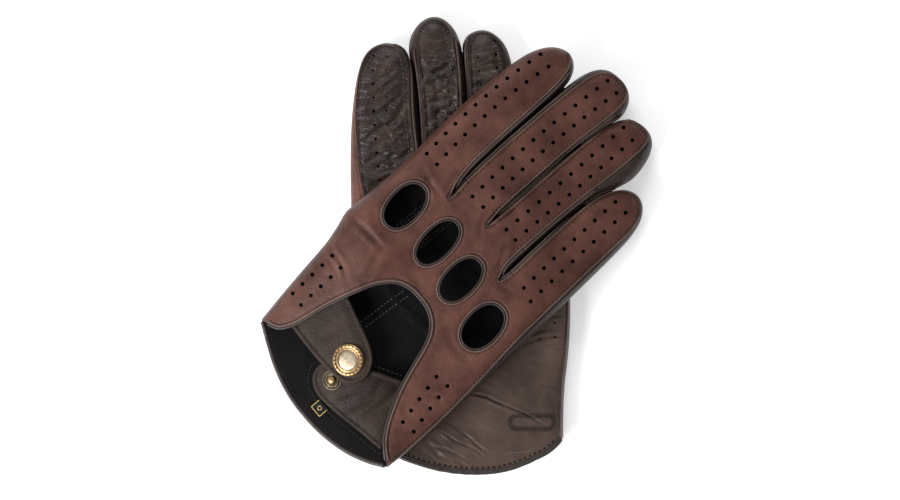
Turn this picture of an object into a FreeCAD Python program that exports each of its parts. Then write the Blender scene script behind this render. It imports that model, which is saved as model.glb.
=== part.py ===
"""A pair of leather driving gloves: the right glove, back up, lies across the left glove, palm up.

Millimetres, +Z up.  The left glove lies flat on the ground.  The right glove is draped over it:
every ply of the right glove follows one drape line, a level stretch with an arc and a slope at
each side, ruled along the left glove's length.  Heights inside a glove count from the outer face
of its palm ply to the outer face of its back ply.  The left glove is the same build turned over.
"""
import FreeCAD, Part
import math
import os
from FreeCAD import Vector, Rotation, Placement

os.makedirs("parts", exist_ok=True)
doc = FreeCAD.newDocument("driving_gloves")
sheet = doc.addObject("Spreadsheet::Sheet", "sizes")

DRIVING = [
    ("thickness", 12, "glove lying flat, palm face to back face"),
    ("leather", 1.2, "panel leather"),
    ("strap_leather", 1.4, "two plies of strap leather"),
    ("binding", 1.6, "bound edge, depth"),
    ("rim_width", 2, "padded rim round a knuckle hole, width"),
    ("hem_width", 3, "turned hem of the palm, width"),
    ("hem_depth", 0.8, "turned hem of the palm, depth"),
    ("hem_inset", 0.1, "hem band, inset from the palm's edge"),
    ("finger_gap", 0.8, "gap at a finger's fold line"),
    ("thumb_thickness", 4.6, "folded thumb lying flat"),
    ("thumb_leather", 1, "thumb leather"),
    ("strap_low", 9, "underside of the strap"),
    ("tab_low", 5.8, "underside of the lower tab"),
    ("label_width", 6.4, "size label, across the hand"),
    ("label_height", 6, "size label, along the hand"),
    ("label_depth", 0.5, "size label, depth"),
    ("cap_radius", 7.5, "snap cap"),
    ("cap_rise", 1.4, "snap cap"),
    ("cap_round", 0.98, "snap cap, rounded edge"),
    ("socket_radius", 5, "snap socket under the strap"),
    ("socket_bore", 2.2, "snap socket, bore radius"),
    ("socket_rise", 0.7, "snap socket"),
    ("socket_gap", 0.25, "snap socket, gap under the strap"),
    ("stud_radius", 4.7, "snap stud base"),
    ("stud_base", 0.5, "snap stud base, depth"),
    ("ball_radius", 2, "snap stud ball"),
    ("ball_rise", 1, "snap stud ball"),
    ("post_radius", 4.2, "rivet under the tab"),
    ("post_rise", 0.6, "rivet under the tab"),
    ("drape_top", 18.5, "drape line, level stretch, height"),
    ("drape_from", -36, "drape line, level stretch, start"),
    ("drape_to", 14.7, "drape line, level stretch, end"),
    ("near_arc", 60, "drape line, arc on the wrist side, radius"),
    ("near_slope", 20.3, "drape line, fall on the wrist side, degrees"),
    ("far_arc", 100, "drape line, arc on the finger side, radius"),
    ("far_slope", 15.96, "drape line, fall on the finger side, degrees"),
    ("right_x", -59.82, "right glove's frame"),
    ("right_y", -67, "right glove's frame"),
    ("right_turn", -48.8, "right glove's frame, degrees"),
    ("left_x", 9.08, "left glove's frame"),
    ("left_y", -89.8, "left glove's frame"),
    ("left_turn", 4, "left glove's frame, degrees"),
    ("reach", 400, "length that covers the pair"),
    ("left_wrist", 0.93, "the left wrist lies this much narrower"),
]
for row, (alias, value, note) in enumerate(DRIVING, start=1):
    sheet.set("A%d" % row, note)
    sheet.set("B%d" % row, str(value))
    sheet.setAlias("B%d" % row, alias)
doc.recompute()
SIZE = {alias: float(sheet.get(alias)) for alias, _, _ in DRIVING}


def cell(alias):
    """The expression for a driving dimension."""
    return "sizes." + alias


# ---------------------------------------------------------------- outlines, in a glove's own frame
# x runs from the index side to the little-finger side, y from the wrist to the fingertips.
# A finger: left and right edge at its root and where its round tip starts, the tip, the fold line.
class Finger:
    def __init__(self, name, root, tip, top, fold):
        self.name = name
        self.root = root
        self.tip = tip
        self.top = top
        self.fold = fold

    def edge(self, side, y):
        """x of the finger's left (0) or right (1) edge at the height y."""
        share = (y - self.root[2]) / (self.tip[2] - self.root[2])
        return self.root[side] + share * (self.tip[side] - self.root[side])

    def corner(self, side, y, inset=0):
        return (self.edge(side, y) + (inset if side == 0 else -inset), y)

    def tip_path(self, start, inset=0):
        """Up the left edge from the height start, round the tip and down the right edge."""
        left = self.corner(0, self.tip[2], inset)
        right = self.corner(1, self.tip[2], inset)
        top = (self.top[0], self.top[1] - inset)
        return [("line", self.corner(0, start, inset), left), ("arc", left, top, right),
                ("line", right, self.corner(1, start, inset))]


RIGHT_FINGERS = [
    Finger("index", (-55, -30.6, 101), (-56.8, -32.6, 174), (-44.5, 186.5), 140),
    Finger("middle", (-29.3, -8.8, 106), (-31.4, -6, 184), (-18, 196.5), 148),
    Finger("ring", (-7.9, 13.4, 106), (-5.2, 15.8, 178), (5.5, 190.2), 146),
    Finger("little", (14.6, 42.8, 95), (16.6, 39.4, 153), (28, 167.2), 128),
]
LEFT_FINGERS = [
    Finger("index", (-50.2, -22.8, 101), (-43.2, -18.6, 172), (-29, 185.3), 143),
    Finger("middle", (-22, 2.6, 106), (-17.8, 5.6, 183), (-6, 196), 158),
    Finger("ring", (3.4, 26, 106), (6.4, 28.8, 176), (17, 188), 174.5),
    Finger("little", (26.8, 48.4, 95), (29.6, 49, 148), (39.5, 163), None),
]
CROTCHES = [101, 106, 94]
LITTLE_WALL = 120          # the left little finger's end wall starts here, as it has no fold line

RIGHT_EDGES = {
    "index": [(-44, -0.8), (-46.5, 15), (-50.5, 45), (-55, 62), (-54.5, 82), (-55, 101)],
    "little": [(42.8, 95), (44.3, 70), (45.6, 45), (45.8, 20), (45, -1)],
    "hem": [(45, -1), (28, -10.8), (5, -14.9), (-18, -12.2), (-44, -0.8)],
}
LEFT_EDGES = {
    "index": [(-41, -2.4), (-44, 15), (-48.5, 45), (-52, 66), (-51.5, 85), (-50.2, 101)],
    "little": [(48.4, 95), (48.7, 66), (46.9, 45), (43.4, 25), (40.8, -2)],
    "hem": [(40.8, -2), (27, -10.5), (8, -15.4), (-16, -13), (-41, -2.4)],
}
HEM_REACH = 39.5           # the hem is turned in between these two x

OPENING = [(-40.6, -0.4), (-33.5, 6), (-30, 20), (-23, 46), (-15, 58), (-4, 60.8), (7, 58.5),
           (16.5, 43), (25, 20.5), (34, 7), (42.6, 0)]
OPENING_INNER = [(-38.4, -0.2), (-32.1, 6.6), (-28.5, 20.4), (-21.6, 45.4), (-14, 56.7),
                 (-4, 59.3), (6.1, 57.3), (15.1, 42.4), (23.6, 20), (33, 5.9), (40.6, 0)]
KNUCKLES = [(-39.3, 83.6, 9.2, 13.8, 7), (-17, 83.8, 8.4, 13.9, 5),
            (2.7, 80.5, 8.6, 13.4, 5), (25.3, 74, 9.3, 13.2, 6)]
STRAP_FOLD = [(-29, 9.2), (-21.5, 35.6)]
STRAP_ROOT_END = [(-31.5, 38.5), (-41.5, 10.5)]
STRAP_GAP = 0.3            # half the gap at the strap's fold line
CAP_AT = (-3.5, 18)
STUD_AT = (-1.5, 6)
LABEL_AT = (4.4, -7.2)


def straight(points):
    """A closed run of lines through the points."""
    return [("line", a, b) for a, b in zip(points, points[1:] + points[:1])]


def strap_outline():
    low, high = [(x + STRAP_GAP, y) for x, y in STRAP_FOLD]
    return [("curve", high, (-10, 32.4), (3, 27), (7.8, 18), (3.5, 10), (-4, 7.4), (-16, 7.3), low),
            ("line", low, high)]


def strap_root_outline():
    low, high = [(x - STRAP_GAP, y) for x, y in STRAP_FOLD]
    return straight([low, high] + STRAP_ROOT_END)


def tab_outline():
    upper, lower = (28.5, 33), (40, 2.6)
    return [("curve", upper, (14, 27), (5, 20.5), (-2, 15.5), (-9, 12), (-10.8, 4), (-5, -2.6),
             (5, -3.6), (20, -1.2), lower), ("line", lower, upper)]


def hand_outline(glove, lower):
    """Round the hand and the finger bases up to their fold lines, closed by the lower path."""
    fingers = glove.fingers
    path = [("curve", *glove.edges["index"])]
    here = glove.edges["index"][-1]
    for finger, crotch in zip(fingers, CROTCHES + [None]):
        if finger.fold is None:
            path.append(("line", here, finger.corner(0, finger.tip[2])))
            path.append(("arc", finger.corner(0, finger.tip[2]), finger.top,
                         finger.corner(1, finger.tip[2])))
            here = finger.corner(1, finger.tip[2])
        else:
            path.append(("line", here, finger.corner(0, finger.fold)))
            path.append(("line", finger.corner(0, finger.fold), finger.corner(1, finger.fold)))
            here = finger.corner(1, finger.fold)
        if crotch is None:
            path.append(("line", here, glove.edges["little"][0]))
        else:
            after = fingers[fingers.index(finger) + 1]
            path.append(("line", here, finger.corner(1, crotch)))
            path.append(("line", finger.corner(1, crotch), after.corner(0, crotch)))
            here = after.corner(0, crotch)
    path.append(("curve", *glove.edges["little"]))
    return path + lower


def edge_wall(points, finger, side, top):
    """A strip of leather's thickness inside a side edge and on along the finger to the height top."""
    inset = SIZE["leather"] * (1 if side == 0 else -1)
    outer = points if side == 0 else points[::-1]
    outer = outer[:-1] + [finger.corner(side, outer[-1][1])]
    inner = [(x + inset, y) for x, y in outer]
    end = finger.corner(side, top)
    inner_end = (end[0] + inset, end[1])
    return [("curve", *outer), ("line", outer[-1], end), ("line", end, inner_end),
            ("line", inner_end, inner[-1]), ("curve", *inner[::-1]), ("line", inner[0], outer[0])]


def fourchette(left, right, crotch):
    """The strip that lines the facing sides of two fingers and turns round their crotch."""
    t = SIZE["leather"]
    left_top = left.fold
    right_top = right.fold or LITTLE_WALL
    return straight([
        (left.edge(1, left_top) - t, left_top), (left.edge(1, crotch) - t, crotch - t),
        (right.edge(0, crotch) + t, crotch - t), (right.edge(0, right_top) + t, right_top),
        right.corner(0, right_top), right.corner(0, crotch), left.corner(1, crotch),
        left.corner(1, left_top)])


def tip_wall(finger, start):
    """The strip that lines both sides and the end of a fingertip."""
    inset = SIZE["leather"]
    outer = finger.tip_path(start)
    inner = finger.tip_path(start, inset)
    back = [("line", inner[2][2], inner[2][1]),
            ("arc", inner[1][3], inner[1][2], inner[1][1]),
            ("line", inner[0][2], inner[0][1])]
    return outer + [("line", outer[2][2], inner[2][2])] + back + [("line", inner[0][1], outer[0][1])]


def hem_band(glove):
    """The turned hem: a band along the palm's wrist edge."""
    edge = Part.BSplineCurve()
    edge.interpolate([Vector(x, y, 0) for x, y in glove.edges["hem"]])
    lower = []
    for step in (-1, -0.5, 0, 0.5, 1):
        x = HEM_REACH * step * (SIZE["left_wrist"] if glove.turned else 1)
        cut = edge.intersectCC(Part.LineSegment(Vector(x, -30, 0), Vector(x, 5, 0)))
        lower.append((x, cut[0].Y + SIZE["hem_inset"]))
    upper = [(x, y + SIZE["hem_width"]) for x, y in lower]
    return [("curve", *lower), ("line", lower[-1], upper[-1]), ("curve", *upper[::-1]),
            ("line", upper[0], lower[0])]


def thumb_paths(base, tip, radius):
    """A thumb lying flat: open at its base, round at its tip; the outline and the wall."""
    along = (Vector(tip[0], tip[1], 0) - Vector(base[0], base[1], 0)).normalize()
    across = Vector(-along.y, along.x, 0)

    def corners(width):
        start = [Vector(base[0], base[1], 0) + across * width * sign for sign in (1, -1)]
        end = [Vector(tip[0], tip[1], 0) + across * width * sign for sign in (1, -1)]
        return start, end, Vector(tip[0], tip[1], 0) + along * width

    def flat(vector):
        return (vector.x, vector.y)

    start, end, top = corners(radius)
    inner_start, inner_end, inner_top = corners(radius - SIZE["thumb_leather"])
    outer = [("line", flat(start[0]), flat(end[0])), ("arc", flat(end[0]), flat(top), flat(end[1])),
             ("line", flat(end[1]), flat(start[1]))]
    inner = [("line", flat(inner_start[1]), flat(inner_end[1])),
             ("arc", flat(inner_end[1]), flat(inner_top), flat(inner_end[0])),
             ("line", flat(inner_end[0]), flat(inner_start[0]))]
    plate = outer + [("line", flat(start[1]), flat(start[0]))]
    wall = outer + [("line", flat(start[1]), flat(inner_start[1]))] + inner
    return plate, wall + [("line", flat(inner_start[0]), flat(start[0]))]


# ---------------------------------------------------------------- the drape of the right glove
def drape_marks():
    """The ends of the drape line's arcs, and the arcs' middles, as (distance, height)."""
    marks = {}
    for side, start, radius, fall in (
            (-1, SIZE["drape_from"], SIZE["near_arc"], SIZE["near_slope"]),
            (1, SIZE["drape_to"], SIZE["far_arc"], SIZE["far_slope"])):
        for share in (0, 0.5, 1):
            angle = math.radians(fall * share)
            marks[side, share] = (start + side * radius * math.sin(angle),
                                  SIZE["drape_top"] - radius * (1 - math.cos(angle)))
    return marks


def drape_height(distance):
    """Height and slope of the drape line at a distance from the left glove's centre line."""
    marks = drape_marks()
    for side, start, radius, fall in (
            (-1, SIZE["drape_from"], SIZE["near_arc"], SIZE["near_slope"]),
            (1, SIZE["drape_to"], SIZE["far_arc"], SIZE["far_slope"])):
        past = side * (distance - start)
        end, end_height = marks[side, 1]
        if past > side * (end - start):
            slope = math.tan(math.radians(fall))
            return end_height - slope * side * (distance - end), -side * slope
        if past > 0:
            rise = math.sqrt(radius ** 2 - past ** 2)
            return SIZE["drape_top"] - radius + rise, -side * past / rise
    return SIZE["drape_top"], 0.0


def across_left(x, y):
    """Distance of a point from the left glove's centre line, along its width."""
    turn = math.radians(SIZE["left_turn"])
    return (x - SIZE["left_x"]) * math.cos(turn) + (y - SIZE["left_y"]) * math.sin(turn)


# ---------------------------------------------------------------- document objects
def sketch_of(name, path, frame, height=None):
    """A sketch of the path, laid in a glove's frame (or the drape's) at a height."""
    sketch = doc.addObject("Sketcher::SketchObject", name)
    for kind, *points in path:
        corners = [Vector(x, y, 0) for x, y in points]
        if kind == "line":
            sketch.addGeometry(Part.LineSegment(corners[0], corners[1]))
        elif kind == "arc":
            sketch.addGeometry(Part.Arc(*corners))
        else:
            curve = Part.BSplineCurve()
            curve.interpolate(corners)
            sketch.addGeometry(curve)
    sketch.setExpression("Placement.Base.x", cell(frame + "_x"))
    sketch.setExpression("Placement.Base.y", cell(frame + "_y"))
    sketch.setExpression("Placement.Rotation.Angle", cell(frame + "_turn"))
    if height:
        sketch.setExpression("Placement.Base.z", height)
    return sketch


def add_ovals(sketch, ovals, inset):
    """Knuckle holes, each an ellipse that leans to the index side at its top."""
    for x, y, half_width, half_height, lean in ovals:
        along = Vector(-math.sin(math.radians(lean)), math.cos(math.radians(lean)), 0)
        across = Vector(along.y, -along.x, 0)
        middle = Vector(x, y, 0)
        sketch.addGeometry(Part.Ellipse(middle + along * (half_height - inset),
                                        middle + across * (half_width - inset), middle))


def raised(name, base, length):
    solid = doc.addObject("Part::Extrusion", name)
    solid.Base = base
    solid.DirMode = "Custom"
    solid.Dir = Vector(0, 0, 1)
    solid.Solid = True
    solid.setExpression("LengthFwd", length)
    return solid


layers = {}


def drape_layer(low, thick):
    """The solid between the drape line raised by low and the same line raised by low + thick."""
    key = (low, thick)
    if key in layers:
        return layers[key]
    marks = drape_marks()
    far = SIZE["reach"] / 2
    ends = {side: (side * far, drape_height(side * far)[0]) for side in (-1, 1)}
    runs = [Part.LineSegment(Vector(*start, 0), Vector(*end, 0)) for start, end in (
        (ends[-1], marks[-1, 1]), (marks[-1, 0], marks[1, 0]), (marks[1, 1], ends[1]))]
    runs += [Part.Arc(*[Vector(*marks[side, share], 0) for share in (0, 0.5, 1)])
             for side in (-1, 1)]
    turn = Rotation(Vector(0, 0, 1), SIZE["left_turn"])
    upright = Placement(Vector(SIZE["left_x"], SIZE["left_y"], 0),
                        turn * Rotation(Vector(1, 0, 0), 90))
    spans = []
    for number, run in enumerate(runs):
        name = "drape_%d_%d" % (len(layers), number)
        line = doc.addObject("Sketcher::SketchObject", name + "_line")
        line.addGeometry(run)
        line.Placement = upright
        line.setExpression("Placement.Base.z", low)
        skin = doc.addObject("Part::Extrusion", name + "_skin")
        skin.Base = line
        skin.DirMode = "Custom"
        skin.Dir = turn.multVec(Vector(0, 1, 0))
        skin.Symmetric = True
        skin.setExpression("LengthFwd", "2 * " + cell("reach"))
        spans.append(raised(name, skin, thick))
    layers[key] = fused("drape_layer_%d" % len(layers), spans)
    return layers[key]


def fused(name, shapes):
    whole = doc.addObject("Part::MultiFuse", name)
    whole.Shapes = shapes
    whole.Refine = False
    return whole


class Glove:
    """One glove: its frame, its outlines, and whether it lies palm up (turned)."""

    def __init__(self, name, fingers, edges, turned):
        self.name = name
        self.fingers = fingers
        self.edges = edges
        self.turned = turned

    def fit(self, path):
        """Wrist parts follow the narrower left wrist."""
        scale = SIZE["left_wrist"] if self.turned else 1
        return [(kind, *[(x * scale, y) for x, y in points]) for kind, *points in path]

    def ply(self, name, path, low, thick, ovals=(), rims=False):
        """A flat or draped ply with the outline path, from low up to low + thick."""
        if self.turned:
            height = "%s - (%s) - (%s)" % (cell("thickness"), low, thick)
            sketch = sketch_of(name + "_outline", path, "left", height)
        else:
            sketch = sketch_of(name + "_outline", path, "right", "-" + cell("reach") + " / 4")
        if ovals:
            add_ovals(sketch, ovals, 0)
            if rims:
                add_ovals(sketch, ovals, SIZE["rim_width"])
        if self.turned:
            return raised(name, sketch, thick)
        prism = raised(name + "_prism", sketch, cell("reach"))
        common = doc.addObject("Part::MultiCommon", name)
        common.Shapes = [prism, drape_layer(low, thick)]
        return common

    def place(self, x, y):
        """A point of the glove's frame in the pair's frame."""
        frame = self.name
        turn = math.radians(SIZE[frame + "_turn"])
        if self.turned:
            x = x * SIZE["left_wrist"]
        return (SIZE[frame + "_x"] + x * math.cos(turn) - y * math.sin(turn),
                SIZE[frame + "_y"] + x * math.sin(turn) + y * math.cos(turn))

    def seat(self, spot, low, lift=0.0):
        """Placement on the ply at the height low: local z points away from the palm."""
        x, y = self.place(*spot)
        if self.turned:
            return Placement(Vector(x, y, SIZE["thickness"] - low - lift),
                             Rotation(Vector(1, 0, 0), 180))
        height, slope = drape_height(across_left(x, y))
        turn = Rotation(Vector(0, 0, 1), SIZE["left_turn"])
        tilt = turn * Rotation(Vector(0, 1, 0), -math.degrees(math.atan(slope)))
        return Placement(Vector(x, y, height + low) + tilt.multVec(Vector(0, 0, lift)), tilt)


NODES = []


def node(label, thing):
    """Keep an object as a named piece of the pair."""
    thing.Label = label
    NODES.append(thing)
    return thing


def grouped(name, shapes):
    group = doc.addObject("Part::Compound", name)
    group.Links = shapes
    return group


def cylinder(name, radius, rise, placement):
    disc = doc.addObject("Part::Cylinder", name)
    disc.setExpression("Radius", radius)
    disc.setExpression("Height", rise)
    disc.Placement = placement
    return disc


# ---------------------------------------------------------------- the pieces of one glove
WALL_LOW = cell("leather")
WALL_DEPTH = "%s - 2 * %s" % (cell("thickness"), cell("leather"))
BACK_LOW = "%s - %s" % (cell("thickness"), cell("leather"))
RIM_LOW = "%s - %s" % (cell("thickness"), cell("binding"))


def panels(glove):
    """Back and palm: the back wraps the index side, the palm wraps the little-finger side."""
    side = glove.name
    opening = glove.fit([("curve", *OPENING[::-1])])[0]
    start, end = glove.edges["little"][-1], glove.edges["index"][0]
    mouth = [("line", start, opening[1]), opening, ("line", opening[-1], end)]
    back = glove.ply(side + "_back_ply", hand_outline(glove, mouth), BACK_LOW, cell("leather"),
                     KNUCKLES)
    index, little = glove.fingers[0], glove.fingers[-1]
    index_wall = glove.ply(side + "_index_wall",
                           edge_wall(glove.edges["index"], index, 0, index.fold),
                           WALL_LOW, WALL_DEPTH)
    node(side + "_back_panel", fused(side + "_back", [back, index_wall]))
    palm = glove.ply(side + "_palm_ply", hand_outline(glove, [("curve", *glove.edges["hem"])]),
                     "0", cell("leather"))
    little_wall = glove.ply(side + "_little_wall",
                            edge_wall(glove.edges["little"], little, 1, little.fold or LITTLE_WALL),
                            WALL_LOW, WALL_DEPTH)
    node(side + "_palm_panel", fused(side + "_palm", [palm, little_wall]))


def fingers(glove):
    """Fourchettes between the fingers, and the fingertips beyond their fold lines."""
    strips = []
    for left, right, crotch in zip(glove.fingers, glove.fingers[1:], CROTCHES):
        name = "%s_fourchette_%s" % (glove.name, left.name)
        strips.append(glove.ply(name, fourchette(left, right, crotch), WALL_LOW, WALL_DEPTH))
    for finger in glove.fingers:
        name = "%s_%s" % (glove.name, finger.name)
        if finger.fold is None:
            strips.append(glove.ply(name + "_end_wall", tip_wall(finger, LITTLE_WALL),
                                    WALL_LOW, WALL_DEPTH))
            continue
        start = finger.fold + SIZE["finger_gap"]
        outline = finger.tip_path(start)
        outline.append(("line", outline[-1][-1], outline[0][1]))
        node(name + "_tip_back",
             glove.ply(name + "_back", outline, BACK_LOW, cell("leather")))
        node(name + "_tip_palm", glove.ply(name + "_palm", outline, "0", cell("leather")))
        node(name + "_tip_fourchette",
             glove.ply(name + "_wall", tip_wall(finger, start), WALL_LOW, WALL_DEPTH))
    node(glove.name + "_fourchettes", grouped(glove.name + "_strips", strips))


def bindings(glove):
    """Bound edges: padded knuckle rims, the wrist opening and the turned hem of the palm."""
    side = glove.name
    node(side + "_knuckle_rims",
         glove.ply(side + "_rims", [], RIM_LOW, cell("binding"), KNUCKLES, rims=True))
    band = glove.fit([("curve", *OPENING), ("line", OPENING[-1], OPENING_INNER[-1]),
                      ("curve", *OPENING_INNER[::-1]), ("line", OPENING_INNER[0], OPENING[0])])
    node(side + "_wrist_binding",
         glove.ply(side + "_wrist", band, RIM_LOW, cell("binding")))
    node(side + "_hem_binding",
         glove.ply(side + "_hem", hem_band(glove), cell("leather"), cell("hem_depth")))
    x, y = LABEL_AT
    across = SIZE["label_width"] / 2
    along = SIZE["label_height"] / 2
    label = straight([(x - across, y - along), (x + across, y - along),
                      (x + across, y + along), (x - across, y + along)])
    node(side + "_size_label",
         glove.ply(side + "_label", label, cell("leather"), cell("label_depth")))


def closure(glove):
    """Strap with its snap cap and socket; tab with its stud and rivet."""
    side = glove.name
    node(side + "_strap", glove.ply(side + "_strap_ply", glove.fit(strap_outline()),
                                    cell("strap_low"), cell("strap_leather")))
    node(side + "_strap_root", glove.ply(side + "_root_ply", glove.fit(strap_root_outline()),
                                         cell("strap_low"), cell("strap_leather")))
    node(side + "_closure_tab", glove.ply(side + "_tab_ply", glove.fit(tab_outline()),
                                          cell("tab_low"), cell("strap_leather")))
    strap_top = SIZE["strap_low"] + SIZE["strap_leather"]
    tab_top = SIZE["tab_low"] + SIZE["strap_leather"]
    blank = cylinder(side + "_cap_blank", cell("cap_radius"), cell("cap_rise"),
                     glove.seat(CAP_AT, strap_top))
    cap = doc.addObject("Part::Fillet", side + "_cap")
    cap.Base = blank
    doc.recompute()
    rim = next(number for number, edge in enumerate(blank.Shape.Edges, start=1)
               if edge.Closed
               and blank.Placement.inverse().multVec(edge.CenterOfMass).z > SIZE["cap_rise"] / 2)
    cap.Edges = [(rim, SIZE["cap_round"], SIZE["cap_round"])]
    node(side + "_snap_cap", cap)
    seat = glove.seat(CAP_AT, SIZE["strap_low"], -SIZE["socket_rise"] - SIZE["socket_gap"])
    ring = doc.addObject("Part::Cut", side + "_socket")
    ring.Base = cylinder(side + "_socket_blank", cell("socket_radius"), cell("socket_rise"), seat)
    ring.Tool = cylinder(side + "_socket_bore", cell("socket_bore"), cell("socket_rise"), seat)
    node(side + "_snap_socket", ring)
    stud_seat = glove.seat(STUD_AT, tab_top)
    ball_seat = glove.seat(STUD_AT, tab_top, SIZE["stud_base"])
    stud = [cylinder(side + "_stud_base", cell("stud_radius"), cell("stud_base"), stud_seat),
            cylinder(side + "_stud_ball", cell("ball_radius"), cell("ball_rise"), ball_seat)]
    node(side + "_snap_stud", fused(side + "_stud", stud))
    post_seat = glove.seat(STUD_AT, SIZE["tab_low"], -SIZE["post_rise"])
    node(side + "_snap_rivet",
         cylinder(side + "_post", cell("post_radius"), cell("post_rise"), post_seat))


def thumb(glove, base, tip, radius):
    """The thumb, folded flat on the outside of the palm."""
    side = glove.name
    plate, wall = thumb_paths(base, tip, radius)
    low = "-" + cell("thumb_thickness")
    node(side + "_thumb_front", glove.ply(side + "_thumb_low", plate, low, cell("thumb_leather")))
    node(side + "_thumb_back", glove.ply(side + "_thumb_high", plate, "-" + cell("thumb_leather"),
                                         cell("thumb_leather")))
    node(side + "_thumb_gusset",
         glove.ply(side + "_thumb_wall", wall, "%s + %s" % (low, cell("thumb_leather")),
                   "%s - 2 * %s" % (cell("thumb_thickness"), cell("thumb_leather"))))


right_glove = Glove("right", RIGHT_FINGERS, RIGHT_EDGES, False)
left_glove = Glove("left", LEFT_FINGERS, LEFT_EDGES, True)
for each in (left_glove, right_glove):
    panels(each)
    fingers(each)
    bindings(each)
    closure(each)
thumb(left_glove, (-36, 48), (-2, 80), 11)
thumb(right_glove, (-37.3, 67.4), (-21.9, 111), 11)

doc.recompute()
for thing in doc.Objects:
    bad = {"Invalid", "Error"} & set(thing.State)
    if bad:
        raise RuntimeError("%s is %s" % (thing.Name, ", ".join(sorted(bad))))
for piece in NODES:
    shape = piece.Shape
    if shape.isNull() or not shape.isValid() or not shape.Solids:
        raise RuntimeError("%s has no valid solid" % piece.Label)
    print("%-30s %2d solid(s) %9.1f mm3" % (piece.Label, len(shape.Solids), shape.Volume))
for piece in NODES:
    piece.Shape.exportStep("parts/%s.step" % piece.Label)
print(len(NODES), "pieces written")
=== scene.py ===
"""A pair of leather driving gloves: the right glove, back up, across the left glove, palm up.

Lengths are millimetres until a mesh is made.  A glove is drawn flat in its own frame: x runs from
the index side to the little-finger side, y from the wrist to the fingertips, and the height c
counts from the palm's outer face (0) to the back's outer face (THICK).  Glove.world() turns the
glove over (left) or drapes it along the drape line (right), as the CAD frame has it.
"""
import math

import bpy
import numpy as np
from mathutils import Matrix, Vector, noise
from mathutils.geometry import delaunay_2d_cdt


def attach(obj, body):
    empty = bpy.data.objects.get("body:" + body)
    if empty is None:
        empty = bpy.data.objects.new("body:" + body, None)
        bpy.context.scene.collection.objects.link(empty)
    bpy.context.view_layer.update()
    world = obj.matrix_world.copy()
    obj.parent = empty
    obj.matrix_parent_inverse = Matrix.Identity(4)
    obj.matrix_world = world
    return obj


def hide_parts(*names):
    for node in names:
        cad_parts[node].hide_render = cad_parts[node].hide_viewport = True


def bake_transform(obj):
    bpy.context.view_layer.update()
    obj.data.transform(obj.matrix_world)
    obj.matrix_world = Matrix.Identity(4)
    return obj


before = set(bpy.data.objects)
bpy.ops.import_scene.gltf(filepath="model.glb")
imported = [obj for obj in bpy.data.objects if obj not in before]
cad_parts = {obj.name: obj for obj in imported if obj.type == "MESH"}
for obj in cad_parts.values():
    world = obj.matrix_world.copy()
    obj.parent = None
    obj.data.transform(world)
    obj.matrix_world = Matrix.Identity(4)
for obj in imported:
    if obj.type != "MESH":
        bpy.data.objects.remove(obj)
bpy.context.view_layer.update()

MM = 0.001

THICK = 12.0            # glove lying flat
HALF = THICK / 2
LEATHER = 1.0
ROUND_EDGE = 9.5        # the glove's edge is rounded over this width
GAP_EDGE = 2.0          # narrower where two fingers lie side by side
ROUND_POWER = 2.2       # how fully the edge is rounded
PALM_FLATNESS = 0.98    # the palm bulges this much of what the back does
OVAL_POWER = 0.9        # under 1: a knuckle hole is a little squarer than an ellipse
GRID = 1.35             # mesh spacing
CREASED_GRID = 0.9      # finer, where the left palm is gathered
STEP = 1.15             # spacing of the points along outlines and seams
TRIM_STEP = 1.2         # and along cords and rows of stitches
BEND_REACH = 8.0        # a length to each side of a finger's fold line
FINGER_MIDDLES = dict(index=-43, middle=-19, ring=3, little=28)

DRAPE_TOP = 18.5
NEAR = dict(side=-1, start=-36.0, radius=60.0, fall=math.radians(20.3))
FAR = dict(side=1, start=14.7, radius=100.0, fall=math.radians(15.96))


# ------------------------------------------------------------------ curves in the plane
def unit(vectors):
    """The vectors at length 1."""
    return vectors / np.maximum(np.linalg.norm(vectors, axis=-1, keepdims=True), 1e-12)


def smooth(points, step):
    """A smooth curve through the points, resampled evenly at about step."""
    p = np.array(points, float)
    p = np.vstack([2 * p[0] - p[1], p, 2 * p[-1] - p[-2]])
    u = np.linspace(0, 1, 12, endpoint=False)[:, None]
    fine = []
    for a, b, c, d in zip(p, p[1:], p[2:], p[3:]):
        ab, bc, cd = (max(np.linalg.norm(v), 1e-6) for v in (b - a, c - b, d - c))
        start = (c - a) / (ab + bc) * bc
        end = (d - b) / (bc + cd) * bc
        fine.append((2 * u ** 3 - 3 * u ** 2 + 1) * b + (u ** 3 - 2 * u ** 2 + u) * start
                    + (3 * u ** 2 - 2 * u ** 3) * c + (u ** 3 - u ** 2) * end)
    return resample(np.vstack(fine + [p[-2][None, :]]), step)


def resample(line, step):
    """The same polyline, with points evenly spaced at about step."""
    run = np.concatenate([[0], np.cumsum(np.linalg.norm(np.diff(line, axis=0), axis=1))])
    count = max(2, int(round(run[-1] / step)))
    at = np.linspace(0, run[-1], count + 1)
    return np.column_stack([np.interp(at, run, line[:, k]) for k in range(line.shape[1])])


def loop(line):
    """The line with its first point again at its end."""
    return np.vstack([line, line[:1]])


def runs(parts, step):
    """Smooth runs joined end to end, with a corner between each and the next."""
    lines = [smooth(part, step) for part in parts]
    return np.vstack([line[:-1] for line in lines] + [lines[-1][-1:]])


def distance(points, line, closed=False, widths=None):
    """Distance from each point to a polyline, in units of each segment's width if given."""
    a = line if closed else line[:-1]
    b = np.roll(line, -1, axis=0) if closed else line[1:]
    unit = 1.0 if widths is None else ((widths[1:] + widths[:-1]) / 2) ** 2
    ab = b - a
    length = np.maximum((ab ** 2).sum(1), 1e-12)
    best = np.full(len(points), 1e9)
    for low in range(0, len(points), 4000):
        p = points[low:low + 4000]
        ap = p[:, None, :] - a[None]
        t = np.clip((ap * ab[None]).sum(2) / length, 0, 1)
        gap = ap - t[..., None] * ab[None]
        best[low:low + 4000] = np.sqrt(((gap ** 2).sum(2) / unit).min(1))
    return best


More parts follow.
